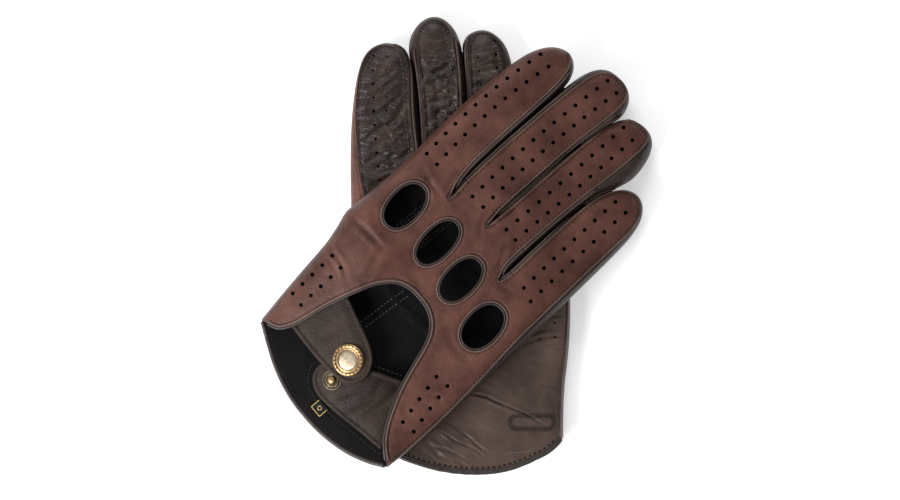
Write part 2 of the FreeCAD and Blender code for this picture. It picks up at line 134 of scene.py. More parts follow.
def inside(points, line):
    """Whether each point is inside the closed polygon line."""
    x, y = points[:, 0], points[:, 1]
    hit = np.zeros(len(points), bool)
    for (x0, y0), (x1, y1) in zip(line, np.roll(line, -1, axis=0)):
        if y0 == y1:
            continue
        crosses = (y0 > y) != (y1 > y)
        hit ^= crosses & (x < (x1 - x0) * (y - y0) / (y1 - y0) + x0)
    return hit


def parallel(line, offset):
    """The line moved sideways by offset, to its left."""
    along = unit(np.gradient(line, axis=0))
    return line + offset * np.column_stack([-along[:, 1], along[:, 0]])


def circle(count):
    """The cosines and the sines of count even turns."""
    turn = np.linspace(0, 2 * math.pi, count, endpoint=False)
    return np.cos(turn), np.sin(turn)


def oval(x, y, half_width, half_height, lean, count=60):
    """A knuckle hole: a superellipse that leans to the index side at its top."""
    across, along = circle(count)
    across = half_width * np.sign(across) * np.abs(across) ** OVAL_POWER
    along = half_height * np.sign(along) * np.abs(along) ** OVAL_POWER
    lean = math.radians(lean)
    return np.column_stack([x + across * math.cos(lean) - along * math.sin(lean),
                            y + across * math.sin(lean) + along * math.cos(lean)])


def smoothstep(value, low, high):
    """0 up to low and 1 from high, with a smooth rise between."""
    t = np.clip((value - low) / (high - low), 0, 1)
    return t * t * (3 - 2 * t)


def bell(value, middle, width):
    """1 at the middle, falling smoothly to 0 on both sides."""
    return np.exp(-((value - middle) / width) ** 2)


def noise_at(points, scale, seed):
    """Smooth noise, about -1 to 1, at 2D points; scale is the feature size, or one for x and y."""
    sx, sy = (scale, scale) if np.isscalar(scale) else scale
    return np.array([noise.noise(Vector((x / sx, y / sy, seed))) for x, y in points])


# ------------------------------------------------------------------ the gloves' outlines
# Each glove: where its frame lies; the run round each finger, from one cleft to the next; the hem
# and the back's opening; a seam on each side, and the points that close the region beyond it; each
# finger piece's name, root and fold line; the closure's width; how far brown wraps the palm.
RIGHT = dict(
    name="right", origin=(-59.82, -67.0), turn=math.radians(-48.8), turned=False,
    silhouette=[
        [(-44, -0.8), (-46.5, 15), (-48.6, 30), (-50.6, 45), (-53, 54.5), (-55.2, 61.5), (-55, 68),
         (-54.5, 82), (-55, 100), (-56, 115), (-56.9, 135), (-56.7, 152), (-55.5, 168),
         (-53.3, 176.3), (-50, 182), (-46, 185.2), (-42, 186.3), (-37.6, 184.6), (-34.4, 181),
         (-32.5, 175), (-32.1, 160), (-31.85, 135), (-31.2, 117), (-29.9, 106), (-29, 102)],
        [(-29, 102), (-30.65, 113), (-31.55, 130), (-31.8, 150), (-31.95, 166), (-31.8, 177),
         (-30.8, 185), (-28.6, 191), (-25, 194.8), (-20, 196.4), (-15, 196.6), (-10.5, 195),
         (-7, 191.5), (-5, 186), (-5.4, 180), (-6.8, 172), (-8, 160), (-8.5, 145), (-8.6, 125),
         (-8.3, 112), (-8, 106.4)],
        [(-8, 106.4), (-8.15, 115), (-8.4, 130), (-8.15, 150), (-7.35, 165), (-6.1, 175), (-4.6, 182),
         (-2.2, 186.6), (1.2, 189.2), (6, 190.6), (11, 190), (15, 187), (18.2, 180.8), (20, 171),
         (18.4, 162.5), (15.7, 155), (14.1, 146), (13.35, 130), (13.3, 112), (13.8, 99), (13.8, 94.2)],
        [(13.8, 94.2), (14.1, 101), (13.5, 115), (13.6, 130), (14.3, 144), (15.9, 153),
         (18.5, 160.4), (22.2, 165.2), (27, 167.3), (32, 166.2), (36.2, 162), (38.8, 155.5),
         (40.2, 147), (41.2, 132), (42, 115), (43, 95), (44.2, 72), (45.2, 52), (45.8, 30),
         (45.7, 12), (45, -1)]],
    hem=[(45, -1), (38, -6), (28, -10.8), (16, -13.9), (5, -14.9), (-8, -14.3), (-22, -10.9),
         (-34, -5.8), (-44, -0.8)],
    opening=[(-44, -0.8), (-41, 0.2), (-36, 2.5), (-33.3, 6.5), (-31.2, 13), (-28.4, 28),
             (-23, 46), (-19.5, 53), (-15, 58), (-9.5, 60.4), (-3.5, 60.9), (2.5, 60.3),
             (7.4, 58), (11.2, 54.4), (14.2, 49), (17.4, 39.5), (21, 29), (25.3, 20), (30, 12),
             (34.5, 6.4), (39.5, 2.4), (43, 0.2), (45, -1)],
    back_seam=[
        (-43, 186), (-39.6, 184.4), (-37, 180), (-35.6, 172), (-35, 160), (-34.8, 145),
         (-34.5, 130), (-33.9, 118), (-32.2, 109), (-29.6, 102.4), (-28.9, 100.2),
         (-28.2, 102.6), (-29.3, 112), (-30, 130), (-30, 150), (-29.7, 168), (-29, 181),
         (-27.6, 189), (-24.6, 193.6), (-20, 195.7), (-15, 196), (-11.4, 194.6), (-9.2, 190),
         (-8.6, 183), (-9.2, 173), (-9.9, 160), (-10, 135), (-9.8, 118), (-9, 109.5),
         (-8, 104.8), (-7.3, 109), (-7, 120), (-7, 150), (-6.6, 166), (-5.6, 178),
         (-3.4, 185.4), (0.4, 188.6), (6, 189.9), (10, 189), (12, 184.6), (12.5, 176),
         (11.9, 160), (11, 148), (10.4, 132), (10.3, 114), (10.8, 101), (12.6, 95.6),
         (14.2, 92.6), (15.8, 97.4), (15.5, 112), (15, 130), (15.1, 145), (16.3, 154),
         (19.2, 161.2), (23, 165), (27.4, 166.6), (31.4, 165.4), (34.8, 162), (36.8, 156.5),
         (37.6, 149), (38, 132), (38.6, 117), (39.2, 100), (40.1, 82), (41.6, 68), (43, 54),
         (44.4, 36), (45, 18), (44.9, 2)],
    back_outside=[(60, -30), (-80, -30), (-80, 215), (-43, 215)],
    palm_seam=[
        (-37, -4), (-41, 20), (-46, 50), (-49, 66), (-49, 85), (-49.6, 110), (-51, 140),
         (-51.2, 160), (-49, 175), (-44.5, 183.6), (-40, 183.6), (-36.6, 179), (-35.4, 168),
         (-35.2, 140), (-34.2, 115), (-29, 99.6), (-28.4, 110), (-28.8, 135), (-28.8, 165),
         (-28, 182), (-24, 191.8), (-18, 194.4), (-11.5, 191.5), (-8.4, 183), (-10.6, 165),
         (-11.4, 140), (-11, 115), (-8, 104), (-5.4, 115), (-5.2, 145), (-4.4, 168), (-2, 181),
         (5, 187.5), (12.6, 184), (15.4, 172), (12.4, 155), (10.2, 135), (10.2, 112), (14, 92),
         (16.6, 112), (16.6, 138), (18.6, 154), (24, 163.4), (30, 163.6), (45, 164)],
    palm_outside=[(60, 164), (60, -30), (-37, -30)],
    zones=[("index", 108, 140), ("middle", 112, 148), ("ring", 112, 146), ("little", 100, 128)],
    scale=1.0, brown_limit=-38.5,
)

LEFT = dict(
    name="left", origin=(9.08, -89.8), turn=math.radians(4), turned=True,
    silhouette=[
        [(-41, -2.4), (-43.6, 15), (-46.4, 32), (-48.8, 46), (-51.2, 58), (-52.2, 70),
         (-51.4, 88), (-49.6, 110), (-48.5, 130), (-46.6, 150), (-44.2, 164), (-42, 172.5),
         (-39, 179.6), (-35, 183.6), (-30, 185.3), (-25, 184.9), (-21, 183), (-18.4, 179),
         (-16.3, 171), (-15.3, 160), (-15, 145), (-15.55, 127), (-17.8, 112), (-21.4, 102)],
        [(-21.4, 102), (-17.6, 112), (-15.3, 127), (-14.8, 145), (-15.1, 160), (-16.1, 171),
         (-17.8, 179), (-17.4, 185), (-15, 190.2), (-11.4, 194), (-7, 195.9), (-2.5, 195.3),
         (1.4, 192.5), (4.4, 188), (6.2, 182), (7, 174), (7.45, 160), (6.85, 140), (5.25, 120),
         (3, 106)],
        [(3, 106), (5.5, 120), (7.1, 140), (7.7, 160), (7.4, 174), (7, 181.6), (9.4, 186),
         (13.2, 187.9), (17, 188.2), (21, 186.7), (25, 183), (27.6, 178), (29.2, 170),
         (30, 155), (29.6, 138), (28.4, 116), (27, 95.5)],
        [(27, 95.5), (29, 112), (30.2, 130), (30.6, 144), (32.4, 155.6), (36, 161.8),
         (39.6, 163.6), (43.4, 162), (46.8, 157.4), (48.8, 149), (49.5, 130), (49.5, 108),
         (49, 86), (48.7, 68), (48.1, 56), (46.9, 44), (45.2, 33), (43.3, 23), (41.8, 11),
         (40.8, -2)]],
    hem=[(40.8, -2), (34, -7.4), (27, -10.6), (16, -14.2), (6, -15.4), (-7, -14.6), (-20, -11.6),
         (-32, -6.9), (-41, -2.4)],
    opening=[(-41, -2.4), (-38.4, -0.6), (-33.6, 2.3), (-31, 6.5), (-29, 13), (-26.4, 28),
             (-21.4, 46), (-18.1, 53), (-14, 58), (-8.8, 60.4), (-3.3, 60.9), (2.3, 60.3),
             (6.9, 58), (10.4, 54.4), (13.2, 49), (16.2, 39.5), (19.5, 29), (23.5, 20),
             (27.9, 12), (32, 6.4), (35.6, 2), (38.6, -0.6), (40.8, -2)],
    back_seam=[
        (-26, 185), (-22.6, 182), (-20.6, 172), (-19.8, 155), (-19.6, 135), (-21.6, 112),
         (-22, 100.4), (-16.4, 112), (-13, 135), (-12.6, 158), (-14.6, 176), (-13.6, 187),
         (-8, 193.8), (-2, 193), (2, 187), (4, 172), (4, 150), (3.4, 125), (3, 104.4),
         (7.6, 122), (9.6, 145), (10, 165), (10.6, 180), (15, 186), (20, 185), (24.4, 179),
         (26, 165), (26.2, 145), (25.6, 118), (27, 94), (31, 112), (32.2, 132), (33.6, 150),
         (38, 160.6), (42, 159.6), (44.6, 150), (45.4, 125), (45, 95), (44.6, 68), (42.4, 45),
         (39, 23), (37.4, 2)],
    back_outside=[(60, -30), (-80, -30), (-80, 215), (-26, 215)],
    palm_seam=[
        (-34, -6), (-36.6, 14), (-40, 38), (-43.6, 60), (-44.6, 80), (-43, 100), (-43.4, 115),
         (-44.6, 128), (-44.6, 150), (-43.2, 163), (-40.8, 174), (-37, 180.8), (-31, 184.2),
         (-25, 183.4), (-20.6, 180.4), (-18.6, 173), (-18.9, 158), (-19, 148), (-18.5, 136),
         (-18.8, 122), (-20.4, 110), (-21.6, 100.4), (-17.4, 110), (-14.6, 124), (-13.4, 140),
         (-13.3, 160), (-13.9, 174), (-14.3, 184), (-12, 190.6), (-7, 194.4), (-2, 193.6),
         (1.2, 190), (3, 183), (3.5, 172), (3.3, 155), (3, 138), (2.8, 120), (3, 104.4),
         (6.2, 119), (8.4, 140), (9, 158), (9, 172), (9.4, 180), (12.6, 185.8), (17, 187),
         (21.4, 185), (25, 180.6), (26.6, 172), (27.2, 158), (27, 140), (26.4, 116), (27, 94),
         (31, 112), (32.2, 130), (32.8, 145), (35, 156), (39, 161.6), (55, 162)],
    palm_outside=[(60, 162), (60, -30), (-34, -30)],
    zones=[("index", 108, 143), ("middle", 112, 158), ("ring", 112, 174.5)],
    scale=0.93, brown_limit=-30,
)

# A knuckle hole: its centre, its half width and height, and its lean in degrees.
KNUCKLES = [(-39.3, 83.6, 8.8, 13.4, 7), (-17, 83.8, 8.2, 13.8, 5),
            (2.7, 80.5, 8.6, 13.4, 5), (25.3, 74, 9.3, 13.2, 6)]
HOLE_RADIUS = 0.98


def column(start, end, count, bow=0.0, radius=HOLE_RADIUS):
    """Evenly spaced perforations from start to end; bow moves the column's middle sideways."""
    share = np.linspace(0, 1, count)
    return [(start[0] + (end[0] - start[0]) * s + bow * 4 * s * (1 - s),
             start[1] + (end[1] - start[1]) * s, radius) for s in share]


BACK_HOLES = (
    column((-50.7, 106.7), (-50.7, 175.6), 12, -2.1) + column((-43.9, 107), (-44.1, 174.7), 12, -2.2)
    + column((-22.3, 109.5), (-21.5, 191.3), 14, -1.5) + column((-15.5, 110), (-14.6, 190.6), 14, -1.6)
    + column((-0.8, 111.2), (-0.6, 182.7), 12, 0.2) + column((5.4, 111.2), (6.5, 182), 12, 0.2)
    + column((24.3, 99.7), (22.6, 157.3), 10, -0.4) + column((31, 98), (29.4, 157.6), 10, -0.3)
    + column((-44.2, 43.7), (-43.3, 18.4), 5) + column((-37.5, 43), (-36.8, 18), 5)
    + column((28.5, 43.2), (34, 18.2), 5, -0.2) + column((35, 44.2), (40.5, 19), 5, -0.2))
LEFT_PALM_HOLES = (
    column((-34.6, 116), (-34.3, 179.5), 11, -1.5, 0.66)
    + column((-28.2, 123), (-27.9, 178.8), 10, -2, 0.42)
    + column((-7, 125), (-7.4, 183), 10, 0.3, 0.3) + column((-1, 122), (-1.2, 180), 10, 0.2, 0.34)
    + column((14.4, 126), (13, 181.6), 10, 0.8, 0.45) + column((21.6, 126), (21.8, 182.6), 10, 0.5, 0.66)
)
RIGHT_PALM_HOLES = [
    hole for hole in column((-48.4, 112), (-49.2, 170), 10) + column((-42, 115), (-42.6, 173), 10)
    + column((-26.4, 118), (-25.4, 184), 11) + column((-19.8, 121), (-18.8, 187), 11)
    + column((-3.8, 118), (-1.4, 178), 10) + column((2.7, 121), (5.4, 181), 10)
    + column((20.2, 104), (20.8, 152), 8) + column((26.8, 107), (27.4, 155), 8)
    if min(math.dist(hole[:2], other[:2]) for other in BACK_HOLES) > 2.3]
KNOTS = [(40.3, 51.3, 0.5), (40.1, 44.6, 0.5)]


def ring(x, y, radius, count=10):
    """A perforation's outline."""
    cos, sin = circle(count)
    return np.column_stack([x + radius * cos, y + radius * sin])


# ------------------------------------------------------------------ relief: folds and gathers
# A fold: the points it runs through, its width and its depth; leather bulges on both its sides.
RIGHT_BACK_FOLDS = [
    ([(-52.5, 62), (-46, 62.6), (-38, 63.2), (-30.2, 63)], 1.7, 1.0),
    ([(-30.6, 63.4), (-28.8, 56), (-26, 47.5)], 2.2, 0.8),
    ([(-51, 45.8), (-44, 45), (-37, 44), (-29, 39.4)], 1.5, 0.65),
    ([(-47, 39.6), (-40, 41), (-33, 36.5)], 1.7, 0.35),
    ([(-54, 74), (-48, 71), (-40, 68.6)], 2.0, 0.3),
    ([(-29.6, 71), (-27.8, 78), (-28.2, 90)], 2.4, 0.4),
    ([(-48, 101), (-40, 99.4), (-33, 98.4), (-28, 97)], 1.8, 0.55),
    ([(-36, 112), (-32.5, 104), (-31, 99)], 1.7, 0.4),
    ([(-12.6, 112), (-9, 102.6), (-3, 98.4)], 1.7, 0.5),
    ([(-24, 106), (-18, 107.6), (-12, 110)], 1.8, 0.4),
    ([(2, 108), (6, 104), (12, 92.6)], 1.7, 0.45),
    ([(12, 92), (18, 92.6), (26, 97)], 1.8, 0.5),
    ([(-2, 110), (2, 112), (8, 108)], 1.8, 0.35),
    ([(-20, 67), (-10, 65), (0, 65.6)], 2.4, 0.3),
    ([(12, 64), (22, 58.4), (38, 60)], 2.4, 0.35),
    ([(31, 33), (36, 37.6), (42, 34)], 1.8, 0.5),
    ([(27, 28), (32, 22), (42, 24)], 2.0, 0.25),
    ([(-44, 137), (-40, 139), (-36, 137)], 2.4, 0.22),
    ([(17, 122), (24, 125), (36, 121)], 2.8, 0.25),
]
LEFT_PALM_FOLDS = [
    ([(-4, 21.6), (0.4, 21.1), (5.9, 19.6), (12.9, 15.8), (21, 11.8), (27.5, 8), (32.5, 4.4)], 0.75, 0.75),
    ([(-9, 5), (-3.2, 1.8), (1.5, -3), (7, -6.6)], 0.8, 0.5),
    ([(-16, 5.4), (-8, -0.4), (0.8, -5.2), (4.6, -11)], 0.7, 0.32),
    ([(-22, -1), (-12, -4), (-4, -9)], 0.8, 0.3),
    ([(-20, -6), (-12, -8), (-5, -12)], 0.7, 0.25),
    ([(8, -8), (14, -6.6), (22, -6.6), (31, -4)], 0.8, 0.3),
    ([(38, 54), (42, 54.4), (47.5, 53.4)], 1.0, 0.7),
    ([(24, 42), (30, 43.8), (39, 45.2), (47, 44)], 1.1, 0.8),
    ([(28, 47), (34, 48.6), (40, 51)], 1.2, 0.5),
    ([(38, 40.4), (42, 39.2), (47, 38.6)], 0.9, 0.6),
    ([(31, 24), (37.4, 21.9), (43, 19.4)], 1.1, 0.5),
    ([(37.6, 14), (37.4, 8), (36.4, 1)], 1.1, 0.4),
    ([(24, 36), (32, 33.6), (40, 32)], 1.6, 0.25),
    ([(-41, 140), (-34, 146), (-27, 149), (-21, 157)], 1.7, 0.9),
    ([(-38, 151), (-30, 155), (-21, 163)], 1.5, 0.7),
    ([(-40, 160), (-32, 163), (-22, 171)], 1.5, 0.6),
    ([(-33, 168), (-27, 171), (-22, 176)], 1.5, 0.6),
    ([(-42, 130), (-35, 134), (-26, 131), (-19, 136)], 1.6, 0.9),
    ([(-40, 119), (-31, 123), (-20, 121)], 1.8, 0.8),
    ([(-41, 126), (-35, 125), (-30, 128)], 1.4, 0.5),
    ([(-12, 181), (-7, 178.6), (0, 180)], 1.3, 0.7),
    ([(-12, 172), (-6, 170), (2, 174)], 1.5, 0.8),
    ([(-12, 163), (-5, 165.6), (2, 162)], 1.5, 0.7),
    ([(-12, 154), (-6, 152), (2, 155)], 1.5, 0.8),
    ([(10, 176), (15, 179), (23, 174)], 1.6, 0.7),
    ([(10, 166), (17, 169), (26, 163)], 1.6, 0.7),
    ([(19, 181), (22, 176), (22.5, 168)], 1.6, 0.5),
]
# A swell: its centre, its two radii and its height.
RIGHT_BACK_SWELLS = [(-44, 67.5, 9, 3.4, 0.5), (-25, 60, 4, 9, 0.5), (-38, 54, 8, 7, 0.45),
                     (-46, 102, 8, 4, 0.35), (36, 36, 5, 4, 0.4), (-20, 100, 6, 6, 0.3),
                     (28, 88, 9, 8, 0.3), (8, 70, 9, 5, 0.25), (-50, 76, 5, 9, 0.3)]
LEFT_PALM_SWELLS = [(-10, 5, 8, 10, 0.9), (16, 27, 12, 9, 0.9), (-10, -5, 9, 5, 0.5),
                    (34, 50, 8, 5, 0.7), (10, 8, 9, 6, 0.5), (30, 16, 8, 6, 0.4),
                    (-27, 168, 5, 9, 0.8), (-27, 150, 5, 8, 0.7), (-24, 136, 4, 8, 0.6),
                    (-5, 188, 6, 4, 0.4), (17, 176, 6, 6, 0.7), (21, 165, 5, 6, 0.6)]
RIGHT_PALM_FOLDS = [
    ([(-40, 60), (-10, 52), (20, 56), (40, 62)], 2.6, 0.6),
    ([(-44, 90), (-20, 84), (10, 86), (38, 90)], 2.6, 0.6),
    ([(-30, 20), (0, 24), (30, 18)], 3.0, 0.5),
]
# A patch of fine wrinkles: its centre, its reach, its lean in degrees, its depth, its noise seed.
RIGHT_BACK_WRINKLES = [(-42, 42, 9, -6, 0.3, 3.3), (-29, 103, 9, -30, 0.3, 5.1),
                       (-7, 105, 9, 40, 0.3, 6.1), (14, 96, 8, 50, 0.3, 7.3),
                       (36, 30, 9, 20, 0.25, 8.2)]
LEFT_PALM_WRINKLES = [(-9, -3, 13, -38, 0.8, 4.2), (37, 48, 9, 4, 0.8, 6.6),
                      (-30, 140, 16, 20, 0.5, 2.2), (20, -9, 10, 8, 0.4, 7.1),
                      (8, 30, 16, -20, 0.35, 1.2)]


def folds_at(points, folds):
    """Height change at the points from a list of folds."""
    total = np.zeros(len(points))
    for path, width, depth in folds:
        line = smooth(path, 1.5)
        away = distance(points, line)
        ends = np.minimum(np.linalg.norm(points - line[0], axis=1),
                          np.linalg.norm(points - line[-1], axis=1))
        taper = smoothstep(ends, -1, 9)
        total -= depth * taper * bell(away, 0, 0.55 * width)
        total += 0.55 * depth * taper * bell(away, 1.35 * width, 0.75 * width)
    return total


def swells_at(points, swells):
    """Height change at the points from a list of swells."""
    x, y = points.T
    return sum(height * np.exp(-((x - cx) / rx) ** 2 - ((y - cy) / ry) ** 2)
               for cx, cy, rx, ry, height in swells)


def patches_at(points, patches):
    """Height change from patches of fine parallel wrinkles, which fade out from their centres."""
    total = 0
    for x, y, reach, lean, depth, seed in patches:
        lean = math.radians(lean)
        dx, dy = points[:, 0] - x, points[:, 1] - y
        along, across = (dx * math.cos(lean) + dy * math.sin(lean),
                         dy * math.cos(lean) - dx * math.sin(lean))
        fade = np.exp(-(dx ** 2 + dy ** 2) / reach ** 2)
        total += depth * fade * noise_at(np.column_stack([along, across]), (7, 1.9), seed)
    return total


def gathers(points):
    """The left glove's palm: fine cross wrinkles, strongest beside the finger seams."""
    x, y = points.T
    wander = noise_at(points, (9, 4), 3.1)
    fine = np.sin(2 * math.pi * (y / 3.1 + 0.9 * wander)) + 0.5 * np.sin(
        2 * math.pi * (y / 1.9 + 1.3 * wander + x / 14))
    middle = smoothstep(x, -15, -12) * smoothstep(-x, -4.6, -2) * smoothstep(-y, -183, -176)
    from_seam = np.minimum(np.abs(x + 13.2), np.abs(x - 3.4))
    strong = 0.3 + 0.7 * bell(from_seam, 0, 3.4)
    index = smoothstep(-x, 14, 20) * smoothstep(-y, -178, -168) * 0.32
    ring_finger = smoothstep(x, 7, 10) * smoothstep(-y, -178, -170) * 0.25
    fingers = smoothstep(y, 106, 116)
    height = 0.26 * fine * fingers * (middle * strong + index + ring_finger)
    crumple = noise_at(points, (4.5, 3), 8.7) + 0.7 * noise_at(points, (2.6, 1.7), 9.9)
    height += (0.55 * middle + 0.3) * crumple * fingers * smoothstep(-y, -182, -174)
    return height + patches_at(points, LEFT_PALM_WRINKLES)


# ------------------------------------------------------------------ one glove's skin
# Across a seam, from the folded edge: the height, the distance and the width of a ridge or groove.
SEAM_RELIEF = [(0.32, 0.5, 0.5), (-0.5, -0.45, 0.5), (-0.2, 1.5, 0.4)]


def drape(distance_across):
    """Height of the drape line at distances from the left glove's centre line."""
    q = np.asarray(distance_across, float)
    height = np.full(q.shape, DRAPE_TOP)
    for run in (NEAR, FAR):
        past = run["side"] * (q - run["start"])
        reach = run["radius"] * math.sin(run["fall"])
        on_arc = np.clip(past, 0, reach)
        drop = run["radius"] - np.sqrt(run["radius"] ** 2 - on_arc ** 2)
        drop += np.maximum(past - reach, 0) * math.tan(run["fall"])
        height = np.where(past > 0, DRAPE_TOP - drop, height)
    return height


def cleft(left, right):
    """The line midway between two neighbouring fingers, from the hand to past their tips."""
    left = left[np.argmax(left[:, 1]):][::-1]
    right = right[:np.argmax(right[:, 1]) + 1]
    y = np.arange(max(left[0, 1], right[0, 1]), min(left[-1, 1], right[-1, 1]), 1.0)
    x = (np.interp(y, left[:, 1], left[:, 0]) + np.interp(y, right[:, 1], right[:, 0])) / 2
    line = np.column_stack([x, y])
    into_hand, past_tips = (0, 14), (0, 25)
    return np.vstack([line[:1] - into_hand, line, line[-1:] + past_tips])


class Glove:
    """One glove: its outline, its holes, the relief of its skin and its place in the pair."""

    def __init__(self, data, folds, swells, palm_holes):
        self.__dict__.update(data)
        self.folds = folds
        self.swells = swells
        self.edge = runs(self.silhouette, STEP)
        parts = [smooth(part, STEP) for part in self.silhouette]
        self.slits = [cleft(left, right) for left, right in zip(parts, parts[1:])]
        self.edge_width = GAP_EDGE + (ROUND_EDGE - GAP_EDGE) * smoothstep(
            self.from_slits(self.edge), 1.5, 5.5)
        self.holes = dict(back=[ring(*hole) for hole in self.back_holes()],
                          palm=[ring(*hole) for hole in palm_holes])
        scale, shift = (0.97, 0.6) if self.turned else (1.0, 0)
        self.knuckles = [(x * scale + shift, y, half_x * scale, half_y, lean)
                         for x, y, half_x, half_y, lean in KNUCKLES]
        self.seams = dict(back=smooth(self.back_seam, STEP), palm=smooth(self.palm_seam, STEP))
        self.regions = {side: np.vstack([seam, np.array(data[side + "_outside"], float)])
                        for side, seam in self.seams.items()}

    def outline(self, side):
        """The whole outline of one side: the glove's edge, and the opening or the hem."""
        wrist = smooth(self.opening, STEP)[::-1] if side == "back" else smooth(self.hem, STEP)
        return np.vstack([self.edge, wrist[1:-1]])

    def from_slits(self, points):
        """Distance of each point from the nearest cleft between two fingers."""
        return np.min([distance(points, slit) for slit in self.slits], axis=0)

    def back_holes(self):
        """The back's perforations; the left glove's fingers lie closer together."""
        if not self.turned:
            return BACK_HOLES
        wrist = [(x * self.scale, y, radius) for x, y, radius in BACK_HOLES[-20:]]
        return [(x + 2.7, y + 3.1, radius) for x, y, radius in LEFT_PALM_HOLES] + wrist

    def rounding(self, points):
        """0 at the glove's edge, rising to 1 where its faces are flat."""
        u = np.clip(distance(points, self.edge, widths=self.edge_width), 0, 1)
        return (1 - (1 - u) ** ROUND_POWER) ** (1 / ROUND_POWER)

    def height(self, points, side):
        """Height c of the back's or palm's outer face at the points."""
        lift = HALF * self.rounding(points)
        if side == "palm":
            lift *= PALM_FLATNESS
        lift = lift + self.relief(points, side) * smoothstep(distance(points, self.edge), 0.2, 3.0)
        return HALF + lift if side == "back" else HALF - lift

    def relief(self, points, side):
        """Folds, dimples round perforations, seam ridges and slack, as outward height."""
        total = folds_at(points, self.folds[side])
        total += 0.35 * noise_at(points, (26, 34), 1.7 if side == "back" else 5.3)
        total += 0.12 * noise_at(points, (9, 11), 2.9 if side == "back" else 6.1)
        if self.turned and side == "palm":
            total += gathers(points)
        centres = np.array([hole.mean(axis=0) for hole in self.holes[side]])
        gap = np.sqrt(((points[:, None, :] - centres[None]) ** 2).sum(2)).min(1)
        total -= (0.16 if self.turned else 0.25) * bell(gap, 0.5, 0.8)
        total += swells_at(points, self.swells[side])
        if side == "back":
            if not self.turned:
                total += patches_at(points, RIGHT_BACK_WRINKLES)
            for x, y, half_x, half_y, lean in self.knuckles:
                near = np.linalg.norm(points - np.array((x, y)), axis=1) < half_y + 6
                hole = oval(x, y, half_x + 0.15, half_y + 0.15, lean)
                outside = distance(points[near], hole, closed=True)
                total[near] -= 0.45 * bell(outside, 0, 0.45)
            total -= 0.4 * bell(distance(points, smooth(self.opening, TRIM_STEP)), 1.9, 0.45)
        signed = distance(points, self.seams[side])
        signed = np.where(inside(points, self.regions[side]), signed, -signed)
        for height, middle, width in SEAM_RELIEF:
            total += height * bell(signed, middle, width)
        return total

    def world(self, points, c):
        """Glove-frame points, in the pair's frame; c is their height, or one height for each."""
        x, y = np.asarray(points, float).T
        cos, sin = math.cos(self.turn), math.sin(self.turn)
        wx = self.origin[0] + x * cos - y * sin
        wy = self.origin[1] + x * sin + y * cos
        c = np.broadcast_to(c, wx.shape)
        if self.turned:
            return np.column_stack([wx, wy, THICK - c])
        across = ((wx - LEFT["origin"][0]) * math.cos(LEFT["turn"])
                  + (wy - LEFT["origin"][1]) * math.sin(LEFT["turn"]))
        return np.column_stack([wx, wy, drape(across) + c])

    def zone(self, points):
        """Which finger (1 and up) a point belongs to, or 0 for the hand."""
        x, y = np.asarray(points, float).T
        finger = np.zeros(len(x), int)
        for line in self.slits:
            finger += x > np.interp(y, line[:, 1], line[:, 0])
        result = np.zeros(len(x), int)
        for number, (_, root, _) in enumerate(self.zones):
            result[(finger == number) & (y > root)] = number + 1
        return result

    def zone_name(self, number):
        """The hand or a finger, for the names of pieces."""
        return "hand" if number == 0 else self.zones[number - 1][0]

    def flips(self, side):
        """Whether a face drawn anticlockwise in the plane must be turned to face outwards."""
        return (side == "palm") != self.turned


class Cloud:
    """Points kept only where no kept point is already nearer than a given gap."""

    cell = 0.8

    def __init__(self, kept):
        self.grid = {}
        self.points = []
        for point in kept:
            self.keep(tuple(point))

    def keep(self, point):
        """Keep a point, whatever is near it."""
        self.points.append(point)
        key = (int(point[0] // self.cell), int(point[1] // self.cell))
        self.grid.setdefault(key, []).append(point)

    def offer(self, points, gap):
        """Keep those of the points that have no kept point within the gap."""
        reach = int(math.ceil(gap / self.cell))
        for x, y in points:
            i, j = int(x // self.cell), int(y // self.cell)
            near = (q for a in range(i - reach, i + reach + 1)
                    for b in range(j - reach, j + reach + 1) for q in self.grid.get((a, b), ()))
            if all((x - q[0]) ** 2 + (y - q[1]) ** 2 > gap * gap for q in near):
                self.keep((x, y))


GRID_GAP = 0.66         # an even grid's point keeps this share of the spacing from other points
EDGE_GAP = 0.08         # no point lies nearer than this to the outline
SMALLEST_AREA = 1e-7


def fill(outline, holes, lines, rows, spacing):
    """Triangles inside outline and outside the holes, with mesh edges along the lines.

    rows are (points, gap) clouds that are offered before the even grid.
    """
    fixed, edges = [], []
    closed_lines = [(line, True) for line in [outline] + holes]
    for line, closed in closed_lines + [(line, False) for line in lines]:
        start = len(fixed)
        fixed.extend(map(tuple, line))
        edges.extend((start + k, start + k + 1) for k in range(len(line) - 1))
        if closed:
            edges.append((start + len(line) - 1, start))
    cloud = Cloud(fixed)
    low, high = outline.min(0), outline.max(0)
    rise = spacing * math.sqrt(0.75)
    grid = np.array([(x + (spacing / 2 if k % 2 else 0), y)
                     for k, y in enumerate(np.arange(low[1], high[1], rise))
                     for x in np.arange(low[0], high[0], spacing)])
    for points, gap in rows + [(grid, GRID_GAP * spacing)]:
        points = points[inside(points, outline)]
        points = points[distance(points, outline, closed=True) > min(EDGE_GAP, gap)]
        cloud.offer(points, gap)
    found = delaunay_2d_cdt([Vector(p) for p in cloud.points], edges, [], 0, 1e-4)
    flat = np.array([(v.x, v.y) for v in found[0]])
    faces = np.array([f for f in found[2] if len(f) == 3])
    middle = flat[faces].mean(axis=1)
    keep = inside(middle, outline)
    for hole in holes:
        near = (np.abs(middle - hole.mean(0)) < np.ptp(hole, axis=0)).all(1)
        cut = np.zeros(len(middle), bool)
        cut[near] = inside(middle[near], hole)
        keep &= ~cut
    faces = faces[keep]
    a, b, c = flat[faces[:, 0]], flat[faces[:, 1]], flat[faces[:, 2]]
    area = (b[:, 0] - a[:, 0]) * (c[:, 1] - a[:, 1]) - (b[:, 1] - a[:, 1]) * (c[:, 0] - a[:, 0])
    faces[area < 0] = faces[area < 0][:, ::-1]
    return flat, faces[np.abs(area) > SMALLEST_AREA]


